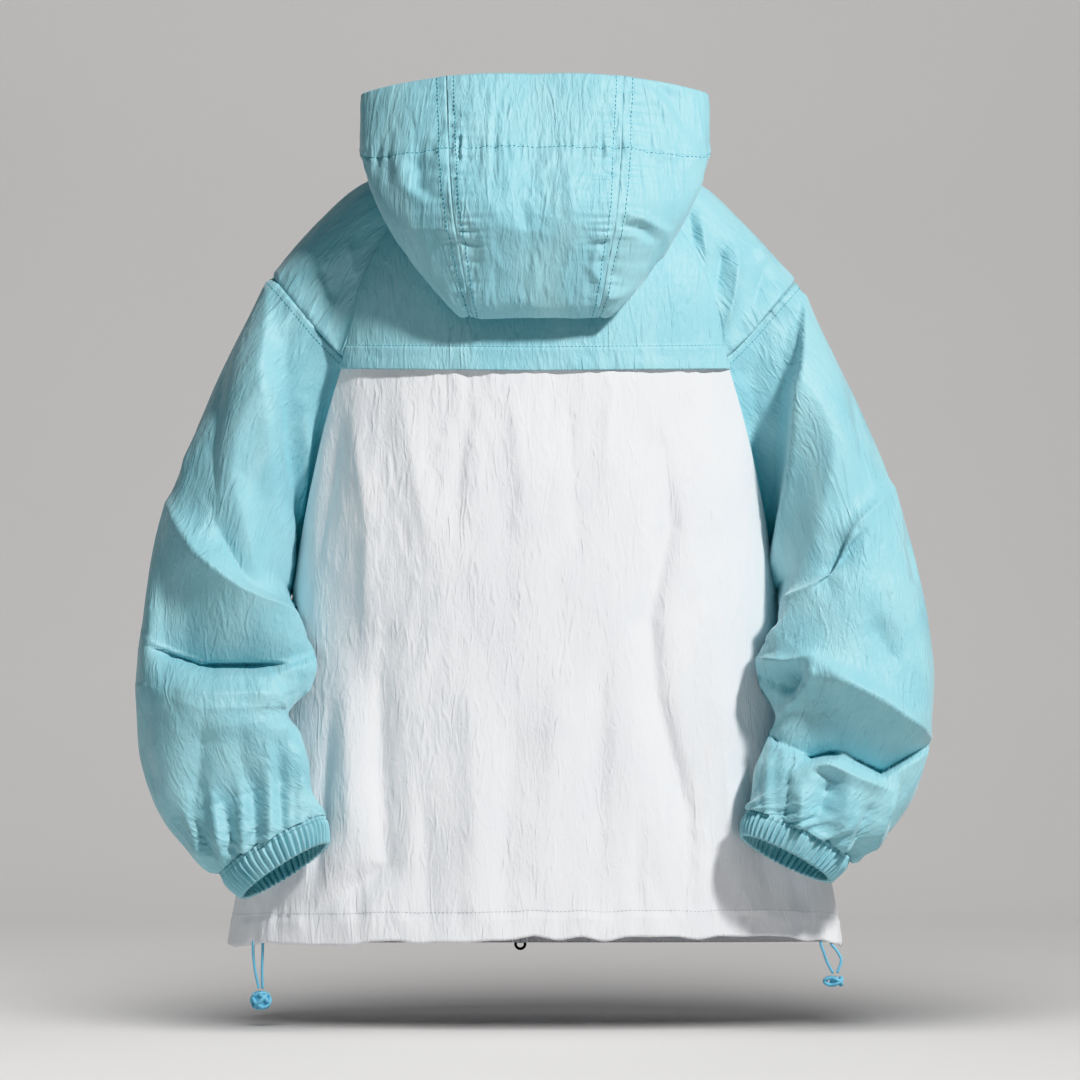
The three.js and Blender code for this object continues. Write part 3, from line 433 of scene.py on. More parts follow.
def crinkle(u, v, seed, coarse=1.0, fine=1.0):
    """Height of crinkled nylon in mm: long soft waves, then patches of streaks and of short creases."""
    height = coarse * 1.5 * lumps(u / 62, v / 140, seed)
    height += coarse * 0.75 * lumps(u / 27, v / 90, seed + 2)
    patchy = fine * (0.35 + 0.65 * ease(lumps(u / 60, v / 100, seed + 8), -0.5, 0.6))
    height += patchy * 0.6 * creases(u / 15, v / 60, seed + 4)
    return height + patchy * 0.34 * creases(u / 8.5, v / 34, seed + 6)


def fold_height(folds, x, z, crisp=1.7):
    """Sum of folds: each falls off as exp(-(distance / width) ** crisp), wider on one side when it leans."""
    total = np.zeros_like(x)
    for line, wide, high, lean in folds:
        nearest, side, place = np.full_like(x, 1e9), np.ones_like(x), np.zeros_like(x)
        for k, ((x0, z0), (x1, z1)) in enumerate(zip(line[:-1], line[1:])):
            dx, dz = x1 - x0, z1 - z0
            t = np.clip(((x - x0) * dx + (z - z0) * dz) / (dx * dx + dz * dz), 0, 1)
            away = np.hypot(x - x0 - t * dx, z - z0 - t * dz)
            closer = away < nearest
            nearest = np.where(closer, away, nearest)
            side = np.where(closer, np.sign((x - x0) * dz - (z - z0) * dx), side)
            place = np.where(closer, (k + t) / (len(line) - 1), place)
        taper = 0.3 + 0.7 * ease(np.minimum(place, 1 - place), 0, 0.3)
        total += high * taper * np.exp(-((nearest / (wide * (1 + lean * side))) ** crisp))
    return total


def puckers(along, away, seed, every=7.0, high=1.0, reach=12.0):
    """Gathers beside a seam: uneven waves along it, dying away from it, with a dip on the seam."""
    wave = creases(along / (1.6 * every), away / 60, seed)
    wave = wave + 0.5 * lumps(along / (0.5 * every), away / 30, seed + 1)
    far = reach * (1 + 0.5 * lumps(along / 31, 0 * along, seed + 3))
    return high * (wave * np.exp(-np.abs(away) / far) - 0.35 * np.exp(-((away / 1.4) ** 2)))


def cloth(name, points, turn, u, v, material, thickness=CLOTH, closed=False):
    """Closed wall: the outer grid, the same grid a thickness inside it, and strips round the edges."""
    rows, wide = points.shape[:2]
    padded = np.concatenate([points[:, -1:], points, points[:, :1]], axis=1) if closed else points
    normals = grid_normals(padded, turn)
    normals = normals[:, 1:-1] if closed else normals
    inner = points - normals * thickness
    both = np.concatenate([points.reshape(-1, 3), inner.reshape(-1, 3)])
    count = rows * wide
    outer = grid_faces(rows, wide, columns_close=closed)
    faces = [outer, outer[:, ::-1] + count]
    i = np.arange(wide if closed else wide - 1)
    after = (i + 1) % wide
    low = (rows - 1) * wide
    faces.append(np.stack([i, count + i, count + after, after], axis=-1))
    faces.append(np.stack([low + i, low + after, count + low + after, count + low + i], axis=-1))
    if not closed:
        a = np.arange(rows - 1) * wide
        b = a + wide - 1
        faces.append(np.stack([a, a + wide, count + a + wide, count + a], axis=-1))
        faces.append(np.stack([b, count + b, count + b + wide, b + wide], axis=-1))
    faces = np.vstack(faces)
    if turn < 0:
        faces = faces[:, ::-1]
    uv = np.stack([u, v], axis=-1).reshape(-1, 2) * MM
    return put_mesh(name, both, faces, material, uv=np.concatenate([uv, uv]))


def run_lengths(points):
    """Distance along the grid in mm, across each row and down each column, as cloth coordinates."""
    across = np.linalg.norm(np.diff(points, axis=1), axis=-1)
    down = np.linalg.norm(np.diff(points, axis=0), axis=-1)
    u = np.concatenate([np.zeros((len(points), 1)), np.cumsum(across, axis=1)], axis=1)
    v = np.concatenate([np.zeros((1, points.shape[1])), np.cumsum(down, axis=0)], axis=0)
    middle = points.shape[1] // 2
    return u - u[:, middle:middle + 1], np.repeat(v[:, middle:middle + 1], points.shape[1], axis=1)


# Wrinkles 8 mm apart and 34 mm long, 4.5 by 15 mm and 2.2 by 5 mm, then clouds of tone of 50 by 90 mm
CLOTH_PATTERNS = (
    (8, 34, 3, 0.8, "RIDGED_MULTIFRACTAL"), (4.5, 15, 3, 1.0, "FBM"), (2.2, 5, 2, 0.6, "FBM"),
    (50, 90, 3, 0.4, "FBM"),
)
WRINKLE_RELIEF = (0.0008, 0.0007, 0.0002)


def crinkled_nylon(name, lit, shade, roughness, sheen, relief):
    """Thin crinkled nylon: papery soft shine, long sharp wrinkles down the grain, short ones between."""
    material, tree, shader = surface_material(
        name, Roughness=roughness, Sheen_Weight=sheen, Sheen_Roughness=0.45,
    )
    place = add(tree, "ShaderNodeUVMap", uv_map="cloth").outputs["UV"]
    patterns = []
    for across, along, detail, distortion, kind in CLOTH_PATTERNS:
        scale = (1 / (across * MM), 1 / (along * MM), 1.0)
        cells = add(tree, "ShaderNodeMapping", {"Vector": place, "Scale": scale})
        noise = {"Vector": cells.outputs[0], "Scale": 1.0, "Detail": detail, "Distortion": distortion}
        made = add(tree, "ShaderNodeTexNoise", noise, noise_dimensions="2D", noise_type=kind)
        patterns.append(made.outputs["Fac"])
    tone = add(tree, "ShaderNodeMapRange", {"Value": patterns[-1], "From Min": 0.35, "From Max": 0.65})
    blend = add(tree, "ShaderNodeMix", {"Factor": tone.outputs[0]}, data_type="RGBA")
    blend.inputs[6].default_value = linear(shade)
    blend.inputs[7].default_value = linear(lit)
    tree.links.new(blend.outputs[2], shader.inputs["Base Color"])
    normal = None
    for height, distance in zip(patterns, WRINKLE_RELIEF):
        bump = {"Height": height, "Strength": 1.0, "Distance": distance * relief}
        if normal is not None:
            bump["Normal"] = normal
        normal = add(tree, "ShaderNodeBump", bump).outputs["Normal"]
    tree.links.new(normal, shader.inputs["Normal"])
    return material


def shown(piece, node):
    """The piece stands for its node on the jacket."""
    on_jacket(piece, node)


def back_grid(levels, shares):
    """Grid of the back, side to side: each half is the body's back to its own raglan seam."""
    share, level = np.meshgrid(shares, levels)
    return body_point("back", np.where(share < 0, -1.0, 1.0), np.abs(share), level), share, level


def stitches(lines, long=2.6, gap=1.1, thread=0.32, rise=0.1):
    """Rows of stitches: short six-sided tubes, low at both ends, laid on each line of points and normals."""
    parts = []
    bow = np.array([0.1, 0.8, 1.0, 0.8, 0.1])
    for points, normals in lines:
        step = np.linalg.norm(np.diff(points, axis=0), axis=1)
        run = np.concatenate([[0], np.cumsum(step)])
        starts = np.arange(0.5, run[-1] - long, long + gap)
        at = starts[:, None] + np.linspace(0, long, 5)[None]
        spot = np.stack([np.interp(at, run, points[:, k]) for k in range(3)], axis=-1)
        out = np.stack([np.interp(at, run, normals[:, k]) for k in range(3)], axis=-1)
        out /= np.linalg.norm(out, axis=-1, keepdims=True)
        spot = spot + out * (rise * bow)[None, :, None]
        along = spot[:, -1:] - spot[:, :1]
        along = along / np.linalg.norm(along, axis=-1, keepdims=True)
        side = np.cross(out, along)
        turn = (np.arange(6) * np.pi / 3)[:, None]
        radius = thread * np.array([0.35, 0.95, 1, 0.95, 0.35])[None, :, None, None]
        ring = side[:, :, None] * np.cos(turn) + out[:, :, None] * np.sin(turn)
        body = (spot[:, :, None] + ring * radius).reshape(-1, 3)
        first = (np.arange(len(starts)) * 30)[:, None]
        sides = (first[:, :, None] + grid_faces(5, 6)[:, [0, 3, 2, 1]]).reshape(-1, 4)
        caps = np.concatenate([first + [[0, 1, 2, 3]], first + [[0, 3, 4, 5]],
                               first + 24 + [[3, 2, 1, 0]], first + 24 + [[5, 4, 3, 0]]])
        parts.append((body, np.vstack([sides, caps])))
    return joined(parts)


def sewn(name, lines, material, slot, **sizes):
    """Rows of stitches as one piece of the jacket; the slot is not used."""
    on_jacket(put_mesh(name, *stitches(lines, **sizes), material))


def sewing_thread(name, colour):
    """Spun polyester thread, matt, one tone deeper than the cloth it holds, with painted shade between its
    strands as fine darker specks.
    """
    tone = linear(colour)
    # Painted shade: a tone at 0.8 of the brightness, in fine random specks, stands for the shade between the
    # strands
    painted_strand_shade = tuple(0.8 * c for c in tone[:3]) + (1.0,)
    return patterned(
        name, "ShaderNodeTexNoise", {"Scale": 2500, "Detail": 2}, painted_strand_shade, tone,
        Roughness=0.6, Sheen_Weight=0.2,
    )


def grid_line(points, normals, row=None, column=None, lift=0.05):
    """One row or column of a grid as a line just above the cloth, with its normals."""
    at = (row,) if row is not None else (slice(None), column)
    return points[at] + normals[at] * lift, normals[at]


white_nylon = crinkled_nylon(
    "crinkled_nylon_white", WHITE_LIT, WHITE_SHADE, roughness=0.55, sheen=0.12, relief=0.8,
)
white_thread = sewing_thread("polyester_thread_white", "#dfe3ea")
levels = np.concatenate([np.linspace(BACK_TOP, 1, UPPER_ROWS)[:-1], np.linspace(1, 2, SKIRT_ROWS)])
base, share, level = back_grid(levels, np.linspace(-1, 1, BACK_COLUMNS))
u, _ = run_lengths(base)
hem_wave = HEM_WAVE * (lumps(u / 58, 0 * u, 27) + 0.5 * lumps(u / 21, 0 * u, 28))
base[..., 2] += hem_wave * ease(level, 1.86, 2) * ease(1 - np.abs(share), 0, 0.08)
normals = grid_normals(base, 1)
u, v = run_lengths(base)
free = ease((1 - np.abs(share)) * HALF_BACK, 0, 18)
casing = ease(level, CASING_TOP, CASING_FULL)
small = crinkle(u, v, 11, coarse=1.3, fine=1.2) * (1 - 0.7 * casing)
height = free * (1.5 * fold_height(BACK_FOLDS, base[..., 0], base[..., 2], crisp=1.4) + small)
height += CASING_STEP * casing
from_hem = (2 - level) * BACK_SKIRT_RUN
height += free * puckers(u, from_hem - 24, 21, every=9, high=1.3, reach=16)
height += free * 1.3 * casing * lumps(u / 12, from_hem / 40, 25)
from_top = (level - BACK_TOP) * UPPER_RUN
height += 0.5 * free * puckers(u, from_top - 20, 23, every=10, high=1.2, reach=16)
height = np.where(level < YOKE_HEM, np.minimum(height, 0.5), height)
back = base + normals * height[..., None]
back_normals = grid_normals(back, 1)
piece = cloth("back_panel_cloth", back, 1, u, v, white_nylon)
shown(piece, "back_panel")
hem_row = int(np.argmin(np.abs(levels - CASING_STITCH)))
sewn("hem_stitching", [grid_line(back, back_normals, row=hem_row)], white_thread, "nylon_white")

# Back yoke. Aqua nylon over the shoulder blades, lined up with the raglan seams. Its hem is turned
# up, topstitched once and left free, so that it throws a thin shadow on the white back.
AQUA_LIT = "#a0d2dc"
AQUA_SHADE = "#91c9d5"
YOKE_ROWS, FLAP_ROWS, YOKE_COLUMNS = 60, 20, 151
aqua_nylon = crinkled_nylon("crinkled_nylon_aqua", AQUA_LIT, AQUA_SHADE, roughness=0.5, sheen=0.3, relief=1.2)
# The deep teal is partly the thread's own colour and partly painted shade of the needle holes along each
# stitch line
aqua_thread = sewing_thread("polyester_thread_aqua", "#4a9fb0")
levels = np.concatenate([
    np.linspace(0, YOKE_LIFT_FROM, YOKE_ROWS)[:-1], np.linspace(YOKE_LIFT_FROM, YOKE_HEM, FLAP_ROWS),
])
base, share, level = back_grid(levels, np.linspace(-1, 1, YOKE_COLUMNS))
normals = grid_normals(base, 1)
u, v = run_lengths(base)
free = ease((1 - np.abs(share)) * HALF_YOKE, 0, 14)
flap = ease(level, YOKE_LIFT_FROM, YOKE_LIFTED)
height = free * crinkle(u, v, 31, coarse=0.9) + YOKE_LIFT * flap
from_stitch = (level - YOKE_STITCH) * UPPER_RUN
height += free * puckers(u, from_stitch, 33, every=8, high=0.6, reach=9)
height += free * flap * (1.2 + lumps(u / 26, 0 * u, 35)) * ease(level, YOKE_LIFTED, YOKE_HEM) * 1.1
height = np.maximum(height, flap * YOKE_LIFT)
yoke = base + normals * height[..., None]
yoke_normals = grid_normals(yoke, 1)
piece = cloth("back_yoke_cloth", yoke, 1, u, v, aqua_nylon)
shown(piece, "back_yoke")
stitch_row = int(np.argmin(np.abs(levels - YOKE_STITCH)))
sewn("yoke_stitching", [grid_line(yoke, yoke_normals, row=stitch_row)], aqua_thread, "nylon_aqua")

# Fronts. White nylon from the zip round to the side seams, with the same hem casing. The photo
# hides them but for the hem line, so they are finished plainly, with a few soft folds.
FRONT_FOLDS = [
    ([(120, -300), (108, -520), (132, -640)], 13, -5, 0.3), ([(-130, -330), (-118, -600)], 14, -5, 0),
    ([(60, -200), (70, -420)], 12, 2, 0), ([(-70, -180), (-60, -400)], 12, 2, 0),
    ([(180, -380), (196, -620)], 14, 3, 0), ([(-180, -400), (-200, -640)], 14, 3, 0),
    ([(-60, -480), (-66, -650)], 10, -2.4, 0), ([(64, -560), (60, -660)], 9, -2, 0),
]
FRONT_ROWS, FRONT_COLUMNS, ZIP_STITCH_COLUMN = (70, 72), 61, 4
front_lines = []
for side, name in ((1, "left"), (-1, "right")):
    levels = np.concatenate([np.linspace(0, 1, FRONT_ROWS[0])[:-1], np.linspace(1, 2, FRONT_ROWS[1])])
    share, level = np.meshgrid(np.linspace(0, 1, FRONT_COLUMNS), levels)
    base = body_point("front", float(side), share, level)
    normals = grid_normals(base, -side)
    u, v = run_lengths(base)
    free = ease(np.minimum(share * 200, (1 - share) * 180), 0, 16)
    casing = ease(level, CASING_TOP, CASING_FULL)
    height = free * fold_height(FRONT_FOLDS, base[..., 0], base[..., 2]) + CASING_STEP * casing
    height += free * crinkle(u, v, 41 + side) * (1 - 0.7 * casing)
    from_hem = (2 - level) * FRONT_SKIRT_RUN
    height += free * puckers(u, from_hem - 24, 51 + side, every=9, high=0.8, reach=14)
    front = base + normals * height[..., None]
    out = grid_normals(front, -side)
    piece = cloth(f"front_{name}_cloth", front, -side, u, v, white_nylon)
    shown(piece, f"front_{name}")
    front_lines.append(grid_line(front, out, row=int(np.argmin(np.abs(levels - CASING_STITCH)))))
    front_lines.append(grid_line(front, out, column=ZIP_STITCH_COLUMN))
sewn("front_stitching", front_lines, white_thread, "nylon_white")

# Raglan shoulders and sleeves. Each shoulder piece is sewn to the sleeve across a gathered drop
# seam. The sleeve is one sheet, seamed under the arm, and hangs forward of its own folds.
SLEEVE_COLUMNS = "level out_x out_z in_x in_z mid deep ridge turn slope".split()
LEFT_SLEEVE = [
    (0, 92, 24, 84, 0, 0, 60, 0, 90, 0), (0.12, 150, 17, 130, -20, 4, 62, 0, 90, 0),
    (0.27, 198, -22, 150, -60, 9, 66, 0, 92, 0), (0.43, 240, -72, 180, -120, 15, 68, 0, 95, 0),
    (0.55, 261, -110, 240, -118, 22, 67, 0.3, 102, 0), (0.7, 288, -166, 240, -190, 32, 64, 0.75, 114, 0),
    (0.85, 310, -220, 233, -275, 42, 60, 1, 130, 0), (1, 326, -262, 221, -355, 50, 57, 1, 160, 0),
    (1.2, 343, -315, 214, -390, 62, 56, 1, 180, 0), (1.4, 352, -369, 198, -420, 76, 55, 1, 180, 0),
    (1.6, 359, -418, 202, -445, 86, 53, 1, 180, 0.03), (1.8, 360, -463, 222, -468, 94, 52, 1, 180, 0.07),
    (2, 356, -508, 211, -487, 101, 50, 1, 180, 0.12), (2.2, 344, -548, 204, -511, 107, 47, 1, 180, 0.17),
    (2.4, 327, -577, 201, -535, 112, 43, 1, 180, 0.21), (2.6, 304, -600, 195, -551, 116, 38, 1, 180, 0.24),
    (2.75, 283, -613, 188, -561, 118, 34, 1, 180, 0.26),
]
RIGHT_SLEEVE = [
    (0, 92, 24, 84, 0, 0, 60, 0, 90, 0), (0.12, 148, 17, 130, -20, 4, 62, 0, 90, 0),
    (0.27, 196, -26, 150, -60, 9, 66, 0, 92, 0), (0.43, 238, -76, 180, -120, 15, 68, 0, 95, 0),
    (0.55, 259, -116, 242, -120, 22, 67, 0.3, 102, 0), (0.7, 285, -166, 241, -180, 32, 64, 0.75, 114, 0),
    (0.85, 306, -214, 233, -250, 42, 60, 1, 130, 0), (1, 320, -251, 221, -355, 50, 57, 1, 160, 0),
    (1.2, 334, -292, 224, -385, 62, 56, 1, 180, 0), (1.4, 346, -340, 205, -413, 76, 55, 1, 180, 0),
    (1.6, 355, -388, 202, -441, 86, 53, 1, 180, 0.03), (1.8, 360, -438, 217, -471, 94, 52, 1, 180, 0.07),
    (2, 356, -486, 210, -491, 101, 50, 1, 180, 0.12), (2.2, 346, -531, 198, -518, 107, 47, 1, 180, 0.17),
    (2.4, 328, -562, 195, -538, 112, 43, 1, 180, 0.21), (2.6, 306, -586, 193, -549, 116, 38, 1, 180, 0.24),
    (2.75, 283, -600, 191, -557, 118, 34, 1, 180, 0.26),
]
SEAM_REACH, NECK_BLEND, BODY_CLEARANCE, CLOTH_CLEARANCE = 0.16, 0.12, 6, 4
UPRIGHT_FLOOR = 2.2
SLEEVE_END, CUFF_SEAM = 2.75, 2.72
SHOULDER_ROWS, SLEEVE_ROWS, SLEEVE_SPAN = 70, 250, 121
# Millimetres round the sleeve, and down one level beside the drop seam and above the cuff
SLEEVE_ROUND, DROP_RUN, CUFF_RUN = 300, 380, 240
FOLD_GAIN, FOLD_CRISP, FRONT_GAIN = 1.6, 1.15, 0.6
SLEEVE_SEEDS = {"left": 61, "right": 81}
LEFT_FOLDS = [
    ([(333, -276), (301, -330), (268, -362), (235, -382), (205, -407)], 20, 13, -0.4),
    ([(290, -292), (264, -340), (232, -370)], 13, -7, 0.3),
    ([(342, -404), (326, -416), (297, -423), (250, -424), (207, -420)], 10, -5, 0.6),
    ([(330, -446), (290, -452), (240, -448), (214, -446)], 18, 8, -0.3),
    ([(242, -85), (244, -157), (239, -214), (231, -271), (227, -316), (214, -390)], 16, 9, -0.6),
    ([(226, -110), (224, -180), (222, -250), (216, -320), (208, -370)], 8, -3, 0),
    ([(208, -190), (210, -232), (215, -285), (220, -308)], 6, 6, 0),
    ([(243, -424), (236, -448), (228, -462)], 5, 4, -0.5),
    ([(296, -470), (301, -510), (312, -560)], 16, -7, 0.3),
    ([(262, -470), (262, -510), (250, -545)], 14, -5, 0),
    ([(216, -490), (212, -545)], 6, 4, 0), ([(230, -480), (226, -540)], 7, -4, 0),
    ([(292, -530), (278, -603)], 6, 5, 0.3), ([(280, -545), (268, -600)], 5, -5, 0),
    ([(266, -520), (260, -596)], 6, 5, 0.3), ([(252, -530), (248, -590)], 5, -5, 0),
    ([(240, -515), (238, -584)], 6, 5, 0.3), ([(228, -530), (224, -578)], 5, -4, 0),
    ([(316, -545), (296, -606)], 7, 4, 0), ([(308, -560), (286, -606)], 5, -5, 0),
    ([(345, -440), (352, -500), (340, -550)], 9, -3, 0), ([(320, -130), (322, -170)], 6, 0, 0),
    ([(280, -120), (292, -230), (290, -280)], 14, -4, 0), ([(306, -190), (318, -260)], 9, 3, 0),
]
RIGHT_FOLDS = [
    ([(330, -258), (300, -289), (287, -304), (272, -346), (245, -365), (215, -395), (200, -421)],
     14, 8, -0.5),
    ([(284, -306), (262, -350)], 6, -7, 0),
    ([(243, -95), (241, -157), (236, -213), (230, -289), (221, -365), (217, -391)], 16, 9, -0.6),
    ([(230, -120), (222, -180), (217, -235), (217, -300)], 9, -3, 0.2),
    ([(200, -421), (230, -423), (247, -418)], 6, 5, 0.3), ([(240, -429), (226, -455)], 8, -9, 0),
    ([(247, -418), (250, -434), (238, -452), (225, -467)], 6, 6, 0),
    ([(249, -418), (275, -437), (310, -457), (336, -478), (353, -491)], 18, 12, 0.45),
    ([(207, -489), (234, -510), (260, -500), (298, -515), (317, -523), (353, -494)], 9, -4, 0.5),
    ([(232, -524), (262, -513), (300, -529), (318, -536)], 8, 7, 0.2), ([(264, -528), (252, -560)], 8, -8, 0),
    ([(285, -532), (270, -578)], 6, 5, 0.3), ([(305, -545), (282, -594)], 6, -5, 0),
    ([(240, -530), (236, -576)], 5, 5, 0), ([(226, -515), (221, -570)], 5, -5, 0),
    ([(212, -500), (208, -560)], 5, 4, 0), ([(325, -535), (300, -594)], 8, 5, 0.3),
    ([(292, -550), (272, -594)], 5, 4, 0), ([(338, -520), (316, -580)], 6, -4, 0),
    ([(320, -340), (322, -400)], 9, 2, 0), ([(290, -160), (300, -260)], 12, -3, 0),
    ([(335, -300), (348, -360)], 8, -3, 0), ([(300, -380), (330, -430)], 12, -4, 0),
]
# Folds with flat faces: which way they run, then by station the ridge, valley, foot and depth
LEFT_FACETS = [
    ("x", (195, 202, 239, 261, 290, 312, 333, 346), (-400, -407, -378, -365, -340, -311, -281, -276),
     (-412, -414, -424, -424, -424, -417, -407, -404), (-419, -422, -436, -436, -436, -429, -420, -417),
     (0, 10, 20, 25, 26, 24, 14, 0)),
    ("x", (200, 225, 260, 300, 330, 350), (-414, -422, -422, -422, -412, -404),
     (-416, -425, -426, -426, -415, -406), (-440, -458, -464, -464, -452, -436), (0, 9, 22, 22, 14, 0)),
    ("z", (-392, -350, -318, -275, -215, -160, -120), (220, 227, 234, 241, 246, 249, 250),
     (210, 215, 219, 219, 213, 207, 204), (198, 202, 202, 196, 180, 165, 160), (4, 18, 24, 23, 18, 11, 0)),
    ("x", (200, 212, 228, 240, 250), (-430, -430, -428, -424, -420), (-434, -446, -450, -446, -436),
     (-440, -466, -470, -464, -450), (0, 8, 13, 9, 0)),
    ("x", (205, 225, 265, 305, 342), (-472, -474, -478, -484, -490), (-522, -530, -542, -556, -566),
     (-562, -577, -592, -604, -614), (0, 14, 22, 18, 0)),
]
RIGHT_FACETS = [
    ("z", (-400, -360, -300, -230, -160, -110, -90), (220, 225, 231, 236, 240, 243, 244),
     (214, 217, 222, 227, 232, 237, 239), (200, 200, 196, 184, 168, 190, 200), (4, 16, 20, 20, 16, 8, 0)),
    ("x", (198, 206, 222, 238, 250), (-423, -424, -422, -420, -418), (-428, -436, -440, -436, -424),
     (-440, -462, -470, -458, -440), (0, 12, 16, 12, 0)),
    ("x", (208, 216, 248, 275, 312, 353, 360), (-478, -474, -430, -441, -460, -489, -492),
     (-486, -492, -508, -503, -521, -497, -495), (-490, -497, -514, -508, -527, -503, -500),
     (0, 12, 27, 31, 28, 10, 0)),
    ("x", (215, 240, 267, 312, 345), (-490, -507, -500, -519, -499), (-493, -510, -504, -523, -503),
     (-520, -548, -552, -566, -530), (0, 9, 12, 10, 0)),
    ("x", (245, 256, 268, 276), (-509, -511, -512, -514), (-518, -522, -528, -530),
     (-532, -540, -546, -540), (0, 8, 8, 0)),
    ("x", (255, 268, 284, 300), (-360, -345, -318, -300), (-364, -350, -324, -306),
     (-372, -372, -356, -330), (0, 9, 9, 0)),
]
SHOULDER_FOLDS = {
    "left": [([(196, -60), (182, -100)], 9, -3, 0), ([(170, -40), (160, -80)], 8, 2, 0)],
    "right": [
        ([(185, -52), (181, -90), (170, -128)], 7, 6, 0.3), ([(172, -45), (166, -85)], 5, -5, 0),
        ([(150, -20), (156, -62)], 6, 4, 0), ([(212, -60), (198, -104)], 8, -4, 0),
        ([(200, -40), (214, -62)], 6, 3, 0), ([(140, -10), (146, -48)], 5, -3, 0),
    ],
}
SLEEVE_TABLES = {
    name: {key: [row[k] for row in rows] for k, key in enumerate(SLEEVE_COLUMNS)}
    for name, rows in (("left", LEFT_SLEEVE), ("right", RIGHT_SLEEVE))
}


def facets(rows, x, z):
    """Flat-faced folds: straight in from 0 at the ridge to the depth at the valley, then out to the foot.

    Those that run up and down reach their depth sooner and keep it, as a trough.
    """
    total = np.zeros_like(x)
    for way, stations, *columns in rows:
        along, across = (x, z) if way == "x" else (z, x)
        ridge, valley, foot, deep = (np.interp(along, stations, column) for column in columns)
        falling, rising = (ridge - across) / (ridge - valley), (foot - across) / (foot - valley)
        floor = 1.0 if way == "x" else UPRIGHT_FLOOR
        total -= deep * np.clip(floor * np.minimum(falling, rising), 0, 1)
    return total


def clear_of_body(point, clearance):
    """Moves points straight out of the body ring at their height, grown by the clearance."""
    z = point[..., 2]
    deep = np.where(point[..., 1] > 0, depth["back"](-z), depth["front"](-z)) + clearance
    wide = half_width(-z) + clearance
    ratio = np.abs(point[..., 0] / wide) ** ROUNDNESS + np.abs(point[..., 1] / deep) ** ROUNDNESS
    inside = np.minimum(ratio ** (1 / ROUNDNESS), 1)
    return np.concatenate([point[..., :2] / np.maximum(inside, 0.3)[..., None], z[..., None]], axis=-1)


def sleeve_point(name, side, around, level):
    """Sleeve: an oval between outer and inner edge, turned from back to front, drawn to the raglan seams."""
    table = SLEEVE_TABLES[name]
    r = {key: through(table, "level", key)(level) for key in SLEEVE_COLUMNS[1:]}
    q = np.minimum(level, 1)
    seam_back = body_point("back", float(side), np.ones_like(q), q)
    seam_front = body_point("front", float(side), np.ones_like(q), q)
    outer = np.stack([side * r["out_x"], r["mid"], r["out_z"]], axis=-1)
    ridge = np.stack([side * r["in_x"], r["mid"], r["in_z"]], axis=-1)
    share = r["ridge"][..., None]
    inner = (seam_back + seam_front - outer) * (1 - share) + ridge * share
    drawn = r["mid"] * r["ridge"] + inner[..., 1] * (1 - r["ridge"])
    inner[..., 1] = np.where(r["ridge"] < 1, drawn, inner[..., 1])
    angle = np.radians(r["turn"]) * (1 - 2 * around)
    oval = (outer + inner) / 2 + (outer - inner) / 2 * np.cos(angle)[..., None]
    oval[..., 1] += r["deep"] * np.sin(angle)
    oval[..., 2] += r["slope"] * r["deep"] * np.sin(angle)
    neck = neck_point(BACK_SEAM_TURN + around * (FRONT_SEAM_TURN - BACK_SEAM_TURN), side)
    blend = (1 - ease(level, 0, NECK_BLEND))[..., None]
    oval = oval * (1 - blend) + neck * blend
    ends = np.minimum(around, 1 - around)
    held = (1 - ease(level, 1, 1.3)) * (1 - ease(ends, 0, SEAM_REACH)) * (level > 0)
    seam = np.where((around < 0.5)[..., None], seam_back, seam_front)
    point = oval * (1 - held[..., None]) + seam * held[..., None]
    cleared = clear_of_body(point, BODY_CLEARANCE * ease(level, 1, 1.12))
    return np.where((level > 1)[..., None], cleared, point)


